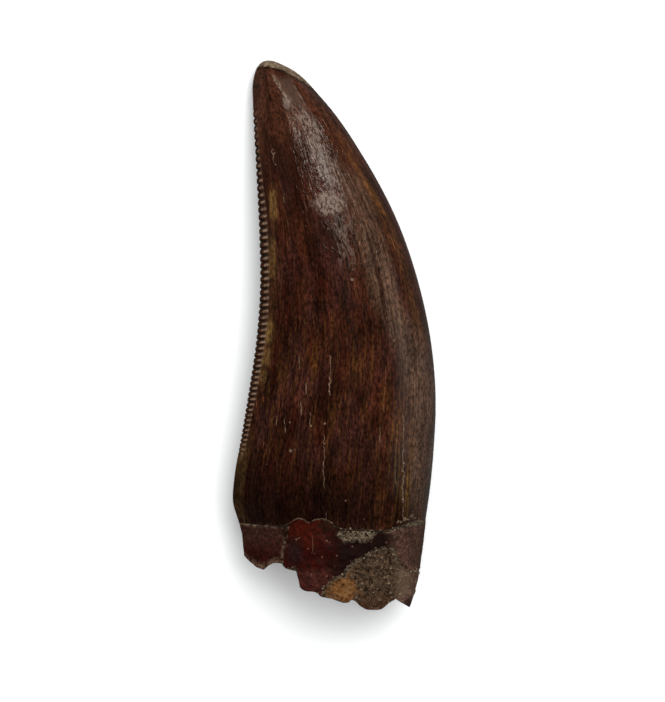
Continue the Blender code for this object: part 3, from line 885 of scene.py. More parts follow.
def edge_colour(w, place, colours, colour, combed):
    """Bands by both edges: amber and a painted reflection in grey and brown by the blunt one, ochre patches
    by the other.
    """
    y, edge, blunt = place["y"], place["from_edge"], place["from_blunt"]
    patchy = w.ramp(w.noise(place["flow"], 0.55, 5.0, detail=3.0), 0.38, 0.60)
    # Painted reflection: a grey-brown band inside the blunt edge
    grey_reflection_mask = w.times(w.ramp(w.apart(blunt, place["grey_middle"]), 1.9, 0.4),
                      w.band(y, -18.5, -14.0, 13.0, 17.0), w.eased(combed, 0.20, 0.80), place["above"])
    colour = w.mix(grey_reflection_mask, colour, colours.painted_grey_reflection)
    amber = w.times(w.band(blunt, 0.40, 0.75, 1.10, 1.7), w.band(y, -4.0, 3.0, 16.0, 19.5),
                    w.eased(patchy, 0.30, 0.85), w.eased(combed, 0.08, 0.85))
    colour = w.mix(amber, colour, colours.amber)
    rim = w.times(w.ramp(blunt, 0.55, 0.15), w.ramp(y, -6.0, 2.0), 0.8)
    colour = w.mix(rim, colour, colours.enamel_red)
    # Painted reflection: pale brown along the blunt edge, lower down
    pale = w.times(w.band(blunt, 0.0, 0.3, 1.6, 2.6), w.band(y, -18.0, -14.0, -2.0, 3.0), 0.48)
    colour = w.mix(pale, colour, colours.painted_brown_reflection)
    stretches = w.most(*[
        w.band(y, low - STRETCH_FADE, low + STRETCH_FADE, high - STRETCH_FADE, high + STRETCH_FADE)
        for high, low in OCHRE_STRETCHES
    ])
    inset = w.apart(edge, w.ramp(y, 9.2, 11.0, 1.12, 1.40))
    ochre = w.times(w.ramp(inset, 0.50, 0.22), w.plus(w.times(stretches, 0.72), 0.14),
                    w.band(y, -6.0, -4.0, 13.0, 14.5), w.eased(patchy, 0.60, 1.0), w.eased(combed, 0.35, 1.0))
    colour = w.mix(ochre, colour, colours.ochre)
    low_ochre = w.times(w.band(edge, 0.0, 0.2, 0.7, 1.2), w.band(y, -17.6, -16.8, -12.0, -8.0),
                        w.eased(combed, 0.20, 0.60))
    return w.mix(low_ochre, colour, colours.ochre)


def ridge_highlight(w, place, grain):
    """How much painted highlight the ridge has: braided along its line near the tip, and a bright patch
    below.
    """
    flow, y, away = place["flow"], place["y"], w.math("ABSOLUTE", place["from_ridge"])
    finer = w.ramp(draw_wrinkles(w, flow, "finer"), 0.15, 0.85, 0.30, 1.0)
    braids = w.times(w.ramp(draw_wrinkles(w, flow, "braids"), 0.60, 0.95), finer)
    crazed = w.ramp(draw_wrinkles(w, flow, "crazed"), 0.20, 0.85, 0.35, 1.0)
    lined = w.ramp(grain, 0.42, 0.56, 0.18, 1.0)
    # Painted highlight: a braided streak along the ridge, a bright patch, a faint net and a blot near the tip
    highlight_streak = w.times(w.ramp(away, 1.05, 0.45), w.band(y, 13.2, 14.5, 20.4, 21.6), braids,
                     w.eased(lined, 0.15, 1.0), crazed)
    rubbed = w.times(draw_patch(w, place, *PATCHES["rubbed"]), lined, crazed)
    highlight_net = w.times(w.ramp(away, 1.2, 0.4), w.band(y, 5.2, 7.5, 10.0, 11.5), braids, 0.40)
    blot = w.times(draw_patch(w, place, *PATCHES["blot"]), w.ramp(grain, 0.38, 0.60, 0.25, 0.75))
    return w.times(w.most(highlight_streak, rubbed, highlight_net, blot), place["above"])


def row_colour(w, place, colours, colour):
    """Denticles: crests with a painted highlight in the middle, painted shade in the wide gaps, and a darker
    outer edge.
    """
    fade = place["row_fade"]
    up_row = w.math("DIVIDE", place["from_edge"], place["row_reach"])
    uneven = w.noise(place["position"], 3.2, 14.0, detail=2.0, rough=0.6)
    gap = w.plus(place["gap"], w.times(w.around(uneven), 0.45))
    below_tip = w.ramp(place["y"], 18.0, 11.5, 0.15, 1.0)
    crests = w.mix(w.ramp(uneven, 0.42, 0.58), colours.denticle_red, colours.denticle)
    colour = w.mix(w.times(w.ramp(up_row, 0.95, 0.60), fade, below_tip, 0.8), colour, crests)
    # Painted shade in the gaps between the denticles
    slit_shade = w.times(w.ramp(gap, 0.0, 0.17), w.ramp(up_row, 0.74, 0.58), fade, 0.85)
    colour = w.mix(slit_shade, colour, colours.slit_shade)
    # Painted highlight in the middle of each crest
    lit = w.times(w.band(up_row, 0.24, 0.50, 0.72, 0.94), w.ramp(gap, 0.22, 0.02), fade,
                  w.eased(below_tip, 0.35, 1.0), w.ramp(uneven, 0.38, 0.56, 0.22, 1.0))
    colour = w.mix(lit, colour, colours.denticle_highlight)
    return w.mix(w.times(w.ramp(up_row, 0.16, 0.06), fade, 0.75), colour, colours.denticle_edge)


def tip_colour(w, place, colours, colour, grain):
    """The worn tip, the dark line below it, the strip's painted sheen between two painted highlights; and a
    mask of wear.
    """
    y, bend, above = place["y"], place["bend"], place["above"]
    across = w.plus(place["from_ridge"], w.times(bend, 0.50))
    # Painted sheen on the flat worn strip near the tip
    sheen = w.times(w.band(across, -0.7, -0.5, 0.5, 0.7), w.band(y, 20.6, 21.8, 23.2, 24.0), above, 0.6)
    colour = w.mix(sheen, colour, colours.strip_painted_sheen)
    # Painted highlights along the strip's two edges
    right_line = w.times(w.band(across, 0.60, 0.68, 0.74, 0.82), 0.7)
    lines = w.plus(w.band(across, -0.90, -0.76, -0.62, -0.48), right_line)
    lines = w.times(lines, w.band(y, 20.6, 21.6, 23.5, 24.1), w.ramp(grain, 0.42, 0.60, 0.12, 0.90), above)
    colour = w.mix(lines, colour, colours.strip_edge_highlight)
    ragged = w.plus(place["wear_depth"], w.times(bend, 0.30), w.times(w.around(grain), 0.22))
    worn = w.ramp(ragged, 0.0, 0.06)
    mottled = w.noise(place["position"], 2.8, 8.0, detail=3.0, rough=0.6)
    colour = w.mix(worn, colour, w.mix(w.ramp(mottled, 0.40, 0.60), colours.wear, colours.wear_shade))
    under_line = w.times(w.band(ragged, -0.24, -0.06, 0.02, 0.10), w.ramp(grain, 0.42, 0.56, 1.0, 0.45))
    dark = w.most(under_line, w.times(draw_spots(w, place, TIP_SPOTS), 0.9))
    return w.mix(w.times(dark, 0.85), colour, colours.enamel_deep), worn


def stump_colour(w, place, colours):
    """The stump's colour, and the masks of its rock crust and its crumbs."""
    position, x, below, above = place["position"], place["x"], place["below"], place["above"]
    clouds = w.noise(position, 0.55, 6.0, detail=4.0, rough=0.6)
    fine = w.noise(position, 3.4, 16.0, detail=4.0, rough=0.65)
    colour = w.mix(w.ramp(x, -4.2, -5.0), blunt_side_colour(w, place, colours, clouds, fine),
                   chunk_colour(w, place, colours, clouds, fine))
    tongue = w.ramp(w.plus(place["tongue"], w.times(w.around(fine), 0.16)), -0.03, 0.05)
    colour = w.mix(tongue, colour, tongue_colour(w, place, colours, clouds))
    veins = w.apart(w.noise(position, 1.1, 19.0, detail=4.0, rough=0.7), 0.5)
    colour = w.mix(w.times(w.ramp(veins, 0.05, 0.0), 0.5), colour, colours.tongue_dark)
    colour = w.scaled(colour, w.ramp(fine, 0.32, 0.68, 0.55, 1.55))
    colour = w.scaled(colour, w.ramp(w.noise(position, 6.5, 88.0, detail=2.0), 0.36, 0.64, 0.70, 1.34))
    holes = w.group("pores", position=position, spacing=0.55, size=0.09, share=0.35)
    holes = w.most(w.times(holes, w.ramp(below, 0.4, 1.2), 0.6), draw_spots(w, place, PORES),
                   w.times(draw_crack(w, place, *TONGUE_CRACK), 0.8))
    colour = w.mix(w.times(holes, above, 0.75), colour, colours.pore)
    # Pale mineral rims, and a painted highlight on the tongue's left edge, in the rim colour
    colour = w.mix(w.times(mineral_rims_and_tongue_highlight(w, place, fine), above, 0.85), colour, colours.rim)
    rock, crust = rock_colour(w, place, colours, fine)
    colour = w.mix(crust, colour, rock)
    colour = w.mix(w.times(draw_patch(w, place, *PATCHES["corner"]), 0.8), colour, colours.chunk_red)
    crumbs, bed = crumb_pattern(w, place)
    colour = w.mix(w.times(bed, w.ramp(fine, 0.40, 0.58, 0.15, 0.75)), colour, colours.crumb_bed)
    colour = w.mix(w.times(crumbs, w.ramp(fine, 0.36, 0.56, 0.35, 1.0)), colour, colours.rim)
    return colour, crust, crumbs


def chunk_colour(w, place, colours, clouds, fine):
    """The chunk below the cutting edge, redder downwards, pale along the enamel and its broken lip."""
    redder = w.ramp(w.plus(w.times(place["below"], 0.22), w.times(clouds, 0.5)), 0.45, 0.95)
    colour = w.mix(redder, colours.chunk, colours.chunk_red)
    lip = w.times(w.ramp(place["stump_share"], 0.78, 0.96), w.ramp(fine, 0.40, 0.56, 0.2, 0.85))
    colour = w.mix(lip, colour, colours.chunk_lip)
    by_enamel = w.times(w.ramp(place["below"], 0.40, 0.10), w.ramp(fine, 0.38, 0.56, 0.15, 0.7))
    return w.mix(by_enamel, colour, colours.chunk_lip)


def blunt_side_colour(w, place, colours, clouds, fine):
    """The dark dentine right of the tongue, the browner strip by the blunt edge, and the point below it."""
    right = w.ramp(w.plus(place["x"], w.times(clouds, 1.6)), 5.2, 6.8)
    dentine = w.mix(w.ramp(clouds, 0.42, 0.62), colours.tongue_dark, colours.shade_olive)
    colour = w.mix(right, dentine, colours.right_strip)
    by_enamel = w.times(w.ramp(place["below"], 0.34, 0.06), w.ramp(fine, 0.38, 0.56, 0.15, 0.6))
    colour = w.mix(by_enamel, colour, colours.chunk_lip)
    point = w.times(right, w.ramp(w.plus(place["y"], w.times(clouds, 2.0)), -19.6, -22.6), 0.85)
    return w.mix(point, colour, colours.point)


def tongue_colour(w, place, colours, clouds):
    """The red tongue, lighter at its top left and darker at the right, with its patch, block and stain."""
    x, y = place["x"], place["y"]
    colour = w.mix(draw_patch(w, place, *PATCHES["lit tongue"]), colours.tongue, colours.tongue_light)
    to_dark = w.ramp(w.plus(x, w.times(clouds, 2.4), w.times(y, -0.10)), 1.6, 4.2)
    colour = w.mix(to_dark, colour, colours.tongue_dark)
    colour = w.mix(w.times(draw_patch(w, place, *PATCHES["bluish"]), 0.7), colour, colours.bluish)
    block = w.times(w.ramp(y, -21.2, -21.8), w.ramp(x, 0.2, -0.8), 0.9)
    colour = w.mix(block, colour, colours.block)
    return w.mix(w.times(draw_patch(w, place, *PATCHES["stain"]), 0.75), colour, colours.shade_olive)


def mineral_rims_and_tongue_highlight(w, place, fine):
    """A mask of the pale mineral along the enamel's margin, and of a painted highlight along the tongue's
    left side.
    """
    x, below = place["x"], place["below"]
    wavy = w.plus(below, w.times(place["bend"], 0.16))
    rim = w.times(w.band(wavy, -0.03, 0.02, 0.07, 0.16), w.ramp(fine, 0.40, 0.54, 0.05, 1.0))
    crumbled = w.times(w.band(wavy, -0.03, 0.02, 0.26, 0.44), w.ramp(x, 4.4, 5.6), w.ramp(fine, 0.47, 0.55))
    # Painted highlight where the raised tongue's left edge catches the light
    tongue_edge_highlight = w.times(w.band(place["tongue"], -0.36, -0.10, 0.0, 0.10), w.ramp(x, -2.3, -3.0),
                         w.ramp(below, 0.0, 0.2), w.ramp(fine, 0.44, 0.60, 0.0, 0.55))
    return w.most(rim, crumbled, tongue_edge_highlight)


def crumb_pattern(w, place):
    """Thin curled crumbs of pale mineral by the margin and along the crust's upper rim, and their bed."""
    strands = w.noise(place["position"], 2.3, 57.0, detail=2.0, rough=0.6, distort=1.4)
    strands = w.ramp(w.apart(strands, 0.5), 0.085, 0.030)
    by_margin = [draw_patch(w, place, *PATCHES[name]) for name in ("crumbs", "crumbs by the blunt edge")]
    bed = w.times(w.most(*by_margin), place["above"])
    rim = w.times(w.band(place["crust"], -0.22, -0.05, 0.08, 0.30), w.ramp(place["y"], -23.6, -22.6),
                  w.ramp(place["x"], 6.6, 5.6), place["above"], 0.7)
    return w.times(w.most(bed, rim), strands), bed


def rock_colour(w, place, colours, fine):
    """The rock crust's colour and its mask."""
    position, x, y, speckled = place["position"], place["x"], place["y"], place["rock_noise"]
    depth = w.plus(place["crust"], w.times(w.around(fine), 0.6), w.times(place["bend"], 0.6))
    crust = w.times(w.ramp(depth, -0.05, 0.08), w.ramp(w.plus(x, w.times(fine, 1.6)), 8.4, 7.0))
    rock = w.mix(w.ramp(speckled, 0.42, 0.56), colours.rock_dark, colours.rock)
    brown = w.ramp(w.plus(y, w.times(place["bend"], 2.0)), -23.4, -24.6)
    rock = w.mix(w.times(brown, 0.6), rock, colours.rock_brown)
    light = w.ramp(w.noise(position, 5.0, 31.0, detail=3.0), 0.54, 0.68)
    rock = w.mix(w.times(light, 0.50), rock, colours.rock_light)
    grey_side = w.times(w.ramp(w.plus(x, w.times(fine, 1.4)), 5.7, 7.4), w.ramp(y, -20.4, -22.0), 0.85)
    rock = w.mix(grey_side, rock, w.mix(w.ramp(speckled, 0.36, 0.58), colours.point, colours.rock_light))
    spongy = w.noise(position, 2.8, 36.0, detail=3.0, rough=0.7)
    sponge = w.mix(w.ramp(spongy, 0.50, 0.60), colours.tan, colours.tan_light)
    sponge = w.mix(w.times(w.ramp(spongy, 0.47, 0.41), 0.85), sponge, colours.rock_dark)
    rock = w.mix(w.times(draw_patch(w, place, *PATCHES["tan"]), 0.92), rock, sponge)
    rim = w.times(w.band(depth, -0.05, 0.03, 0.08, 0.22), w.ramp(speckled, 0.46, 0.54), 0.7)
    return w.mix(rim, rock, colours.rim), crust


def break_colour(w, place, colours):
    """The broken end: a rim of dentine round a core of rock."""
    mottled = w.noise(place["position"], 1.6, 41.0, detail=5.0, rough=0.7)
    core = w.mix(w.ramp(mottled, 0.38, 0.62), colours.rock_dark, colours.rock_light)
    tan = w.ramp(w.noise(place["position"], 0.5, 47.0, detail=3.0), 0.52, 0.64)
    core = w.mix(w.times(tan, 0.7), core, colours.tan)
    wall = w.mix(w.ramp(mottled, 0.4, 0.6), colours.block, colours.chunk_lip)
    inner = w.ramp(w.plus(place["break_share"], w.times(w.around(mottled), 0.35)), 0.26, 0.36)
    return w.mix(inner, wall, core)


def new_material(name, coat, specular, groups=None):
    """A material's wiring and its shader, with the plain values that it keeps."""
    material = bpy.data.materials.new(name)
    material.use_nodes = True
    shader = material.node_tree.nodes["Principled BSDF"]
    shader.inputs["IOR"].default_value = 1.50
    shader.inputs["Specular IOR Level"].default_value = specular
    shader.inputs["Coat Weight"].default_value = coat
    shader.inputs["Coat Roughness"].default_value = 0.22
    return material, Wiring(material.node_tree, groups), shader


def read_position(w):
    """The position on the piece in millimetres."""
    return w.vector("MULTIPLY", w.add("ShaderNodeTexCoord", output="Object"), (1.0 / MM,) * 3)


def read_place(w, *names):
    """The position and the mesh's fields, as the colour functions read them."""
    position = read_position(w)
    x, y, _ = w.split(position)
    place = {"position": position, "x": x, "y": y, "flow": attribute(w, "flow", "Vector")}
    place["bend"] = w.around(w.noise(position, 1.3, 4.0, detail=3.0, rough=0.65))
    place.update({name: attribute(w, name) for name in names})
    place["above"] = w.ramp(attribute(w, "upness"), 0.02, 0.12)
    return place


def wire_surface(w, shader, colour, rough, height):
    """Gives a shader its colour, its roughness and a relief in millimetres."""
    bump = w.add("ShaderNodeBump", {"Strength": 1.0, "Distance": MM, "Height": height}, output="Normal")
    for name, value in (("Base Color", colour), ("Roughness", rough), ("Normal", bump)):
        w.feed(shader.inputs[name], value)


def enamel_material(groups, colours):
    """Glossy enamel, finely streaked along the crown and wrinkled near its ridge."""
    material, w, shader = new_material("fossil_enamel", 0.03, 0.20, groups)
    place = read_place(w, "from_edge", "from_blunt", "gap", "row_fade", "row_reach", "wear_depth",
                       "from_ridge", "grey_middle")
    colour, worn, marks = enamel_colour(w, place, colours)
    flow, x, y = place["flow"], place["x"], place["y"]
    rubbed = w.noise(flow, 0.8, 51.0, detail=3.0, rough=0.6)
    # The wear, the painted ridge highlight and the marks are rougher
    rough = w.blend(w.most(worn, marks), w.ramp(rubbed, 0.30, 0.70, 0.18, 0.28), 0.50)
    upper_half = w.times(w.band(y, 3.0, 8.0, 19.0, 22.0), w.band(x, -5.5, -3.0, 3.5, 6.0))
    wrinkles = w.plus(w.times(draw_wrinkles(w, flow, "relief"), 0.034),
                      w.times(draw_wrinkles(w, flow, "fine relief"), 0.006))
    lines = w.times(draw_streaks(w, flow, "relief"), 0.008)
    pitting = w.times(w.noise(place["position"], 3.0, 71.0, detail=2.0, rough=0.6), 0.008)
    wire_surface(w, shader, colour, rough, w.plus(w.times(wrinkles, upper_half), lines, pitting))
    return material


def stump_material(groups, colours):
    """Dull dentine with a crust of rock on it."""
    material, w, shader = new_material("fossil_dentine", 0.0, 0.2, groups)
    place = read_place(w, "crust", "tongue", "stump_share")
    place["below"] = attribute(w, "below_margin")
    place["rock_noise"] = w.noise(place["position"], 3.6, 91.0, detail=4.0, rough=0.8)
    colour, crust, crumbs = stump_colour(w, place, colours)
    rubbed = w.noise(place["position"], 0.8, 51.0, detail=3.0, rough=0.6)
    rough = w.blend(w.most(crust, crumbs), w.ramp(rubbed, 0.30, 0.70, 0.52, 0.74), 0.92)
    stump_height = w.times(w.noise(place["position"], 3.0, 81.0, detail=3.0, rough=0.7), 0.05)
    height = w.blend(crust, stump_height, w.times(place["rock_noise"], 0.42))
    wire_surface(w, shader, colour, rough, w.plus(height, w.times(crumbs, 0.10)))
    return material


def break_material(groups, colours):
    """The rough broken end."""
    material, w, shader = new_material("fossil_break", 0.0, 0.3, groups)
    place = read_place(w, "break_share")
    colour = break_colour(w, place, colours)
    rough = w.ramp(w.noise(place["position"], 2.0, 3.0), 0.3, 0.7, 0.84, 0.95)
    rock_height = w.times(w.noise(place["position"], 3.2, 91.0, detail=4.0, rough=0.8), 0.34)
    wire_surface(w, shader, colour, rough, rock_height)
    return material


def grain_material(colours):
    """Pale grains of rock."""
    material, w, shader = new_material("rock_grain", 0.0, 0.5)
    position = read_position(w)
    tone = w.noise(position, 4.5, 5.0, detail=3.0, rough=0.6)
    colour = w.mix(w.ramp(tone, 0.34, 0.60), colours.rock, colours.rim)
    wire_surface(w, shader, colour, 0.85, w.times(w.noise(position, 9.0, 2.0, detail=3.0), 0.05))
    return material


def geometry_tree(name, numbers, materials=("Material",)):
    """A Geometry Nodes tree with a mesh in and out, named numbers, and named materials; and its wiring."""
    tree = bpy.data.node_groups.new(name, "GeometryNodeTree")
    tree.is_modifier = True
    tree.interface.new_socket(name="Geometry", in_out="INPUT", socket_type="NodeSocketGeometry")
    for label, default in numbers:
        socket = tree.interface.new_socket(name=label, in_out="INPUT", socket_type="NodeSocketFloat")
        socket.default_value = default
    for label in materials:
        tree.interface.new_socket(name=label, in_out="INPUT", socket_type="NodeSocketMaterial")
    tree.interface.new_socket(name="Geometry", in_out="OUTPUT", socket_type="NodeSocketGeometry")
    return tree, Wiring(tree), tree.nodes.new("NodeGroupInput").outputs


def finish_tree(w, geometry, materials):
    """The end of each tree: real meshes with their materials, each with the faces that it takes or None."""
    dressed = w.add("GeometryNodeRealizeInstances", {"Geometry": geometry})
    for material, faces in materials:
        inputs = {"Geometry": dressed, "Material": material}
        if faces:
            inputs["Selection"] = faces
        dressed = w.add("GeometryNodeSetMaterial", inputs)
    w.tree.links.new(dressed, w.tree.nodes.new("NodeGroupOutput").inputs["Geometry"])


def field(w, name, kind="FLOAT"):
    return w.add("GeometryNodeInputNamedAttribute", {"Name": name}, data_type=kind)


def tooth_faces(w, given):
    """The tooth's materials, with the faces that each takes."""
    stump = w.math("GREATER_THAN", field(w, "stump_share"), 0.0001)
    broken = w.math("GREATER_THAN", field(w, "break_share"), 0.0001)
    return list(zip([given[label] for label in TOOTH_MATERIALS], [None, stump, broken]))


def serration_tree():
    """Cuts the denticles: each gap pulls the edge inwards, and flutes both faces beside it."""
    numbers = [("Notch", 0.17), ("Reach", 0.90), ("Fluting", 0.34), ("Roundness", 0.60)]
    tree, w, given = geometry_tree("serration", numbers, TOOTH_MATERIALS)
    wave = w.math("ABSOLUTE", w.math("SINE", w.times(field(w, "row_phase"), math.pi)))
    gap = w.times(w.rest(w.math("POWER", wave, given["Roundness"])), field(w, "row_fade"))
    reach = w.times(field(w, "row_reach"), given["Reach"])
    toothed = w.rest(w.math("DIVIDE", field(w, "from_edge"), reach))
    fluted = w.times(gap, w.ramp(toothed, 0.0, 0.5))
    notch = w.scaled(field(w, "inward", "FLOAT_VECTOR"), w.times(gap, toothed, given["Notch"], MM))
    flute = w.scaled(field(w, "to_plane", "FLOAT_VECTOR"), w.times(fluted, given["Fluting"], MM))
    offset = w.vector("ADD", notch, flute)
    moved = w.add("GeometryNodeSetPosition", {"Geometry": given["Geometry"], "Offset": offset})
    marked = w.add("GeometryNodeStoreNamedAttribute", {"Geometry": moved, "Name": "gap", "Value": gap},
                   data_type="FLOAT", domain="POINT")
    finish_tree(w, marked, tooth_faces(w, given))
    return tree


def relief_tree():
    """Raises the low relief: long flutes and swells on the enamel, lumps on the stump, crust and break."""
    numbers = [("Flutes", 0.03), ("Swell", 0.05), ("Stump", 0.12), ("Crust", 0.32), ("Break lumps", 0.45)]
    tree, w, given = geometry_tree("surface_relief", numbers, TOOTH_MATERIALS)
    flow = field(w, "flow", "FLOAT_VECTOR")
    position = w.vector("MULTIPLY", w.add("GeometryNodeInputPosition"), (1.0 / MM,) * 3)
    below, edge, blunt = field(w, "below_margin"), field(w, "from_edge"), field(w, "from_blunt")
    on_enamel = w.ramp(below, 0.0, -0.3)
    inside = w.times(w.ramp(edge, 0.3, 1.6), w.ramp(blunt, 0.1, 1.2), on_enamel)
    flutes = w.around(w.stretched(flow, (1.3, 0.07, 0.4), 3.0, detail=3.0))
    swell = w.around(w.stretched(flow, (0.35, 0.16, 0.3), 8.0, detail=2.0))
    lumps = w.around(w.noise(position, 1.4, 5.0, detail=4.0, rough=0.6))
    grit = w.around(w.noise(position, 2.4, 12.0, detail=4.0, rough=0.65), 0.35)
    on_stump = w.times(w.ramp(below, 0.05, 0.5), w.ramp(field(w, "break_share"), 0.10, 0.0))
    on_break = w.ramp(field(w, "break_share"), 0.03, 0.30)
    crust = field(w, "crust_lift")
    height = w.plus(
        w.times(flutes, inside, given["Flutes"], 2.0),
        w.times(swell, inside, given["Swell"], 2.0),
        w.times(lumps, on_stump, given["Stump"]),
        w.times(crust, w.plus(w.times(grit, 1.1), 0.42), given["Crust"]),
        w.times(lumps, on_break, given["Break lumps"]),
    )
    offset = w.scaled(w.add("GeometryNodeInputNormal"), w.times(height, MM))
    moved = w.add("GeometryNodeSetPosition", {"Geometry": given["Geometry"], "Offset": offset})
    finish_tree(w, moved, tooth_faces(w, given))
    return tree


def grain_tree():
    """Scatters small angular grains over a surface by its grain_density field."""
    numbers = [("Density", 60.0), ("Smallest", 0.04), ("Largest", 0.14)]
    tree, w, given = geometry_tree("rock_grains", numbers)
    spread = w.times(field(w, "grain_density"), given["Density"], 1.0 / MM**2)
    scattered = w.add("GeometryNodeDistributePointsOnFaces",
                      {"Mesh": given["Geometry"], "Density": spread, "Seed": 7}, distribute_method="RANDOM")
    grain = w.add("GeometryNodeMeshIcoSphere", {"Radius": 1.0, "Subdivisions": 2})
    position = w.add("GeometryNodeInputPosition")
    bumps = w.times(w.around(w.noise(position, 1.1, 3.0, detail=1.0)), 1.3)
    grain = w.add("GeometryNodeSetPosition", {"Geometry": grain, "Offset": w.scaled(position, bumps)})
    size = random_value(w, "FLOAT", given["Smallest"], given["Largest"], 19)
    squash = random_value(w, "FLOAT_VECTOR", (0.6, 0.6, 0.5), (1.3, 1.1, 0.9), 23)
    turn = random_value(w, "FLOAT_VECTOR", (0.0, 0.0, 0.0), (math.tau, math.tau, math.tau), 29)
    scale = w.scaled(squash, w.times(size, MM))
    placed = w.add("GeometryNodeInstanceOnPoints",
                   {"Points": scattered, "Instance": grain, "Rotation": turn, "Scale": scale})
    finish_tree(w, placed, [(given["Material"], None)])
    return tree


def random_value(w, kind, low, high, seed):
    """A random number or vector for each point."""
    low_at, high_at, output = {"FLOAT_VECTOR": (0, 1, 0), "FLOAT": (2, 3, 1)}[kind]
    inputs = {low_at: low, high_at: high, "Seed": seed}
    return w.add("FunctionNodeRandomValue", inputs, output=output, data_type=kind)


def apply_tree(piece, tree, values):
    """Runs a tree on a piece, and leaves the result as the piece's own plain mesh."""
    modifier = piece.modifiers.new(tree.name, "NODES")
    modifier.node_group = tree
    for item in tree.interface.items_tree:
        if item.in_out == "INPUT" and item.name in values:
            modifier[item.identifier] = values[item.name]
    bpy.context.view_layer.update()
    graph = bpy.context.evaluated_depsgraph_get()
    result = bpy.data.meshes.new_from_object(
        piece.evaluated_get(graph), preserve_all_data_layers=True, depsgraph=graph)
    piece.modifiers.clear()
    piece.data = result
    result.name = piece.name


def keep_in_box(mesh):
    """Holds every point inside the CAD's box, and flat on the surface that the tooth lies on."""
    low, high = np.array(CAD_BOX[0]) + BOX_CLEARANCE, np.array(CAD_BOX[1]) - BOX_CLEARANCE
    low[2] = CAD_BOX[0][2]
    points = np.empty(len(mesh.vertices) * 3)
    mesh.vertices.foreach_get("co", points)
    points = np.clip(points.reshape(-1, 3), low, high)
    mesh.vertices.foreach_set("co", points.ravel())
    mesh.update()


def colour_property(name, description, value):
    return FloatVectorProperty(name=name, description=description, default=value, subtype="COLOR",
                               size=3, min=0.0, max=1.0)


class FOSSIL_PG_relief(PropertyGroup):
    """Sizes of the serration and the relief, in millimetres."""

    notch: FloatProperty(name="Denticle notch", description="Depth of the gaps between denticles, in mm",
                         default=0.17, min=0.0, max=0.4, subtype="DISTANCE")
    reach: FloatProperty(name="Denticle reach", description="How far the gaps run up the faces, in mm",
                         default=0.90, min=0.1, max=1.5, subtype="DISTANCE")
    fluting: FloatProperty(name="Fluting", description="How deep the gaps flute the faces",
                           default=0.34, min=0.0, max=0.8, subtype="FACTOR")
    roundness: FloatProperty(name="Denticle roundness", description="Lower is a narrower gap",
                             default=0.60, min=0.2, max=2.0, subtype="FACTOR")
    flutes: FloatProperty(name="Enamel flutes", description="Height of the long flutes, in mm",
                          default=0.030, min=0.0, max=0.2, subtype="DISTANCE")
    swell: FloatProperty(name="Enamel swell", description="Height of the broad unevenness, in mm",
                         default=0.05, min=0.0, max=0.3, subtype="DISTANCE")
    stump: FloatProperty(name="Stump lumps", description="Height of the stump's lumps, in mm",
                         default=0.12, min=0.0, max=0.5, subtype="DISTANCE")
    crust: FloatProperty(name="Crust", description="Height of the rock crust, in mm",
                         default=0.32, min=0.0, max=0.8, subtype="DISTANCE")
    broken: FloatProperty(name="Break lumps", description="Height of the lumps on the break, in mm",
                          default=0.45, min=0.0, max=1.0, subtype="DISTANCE")


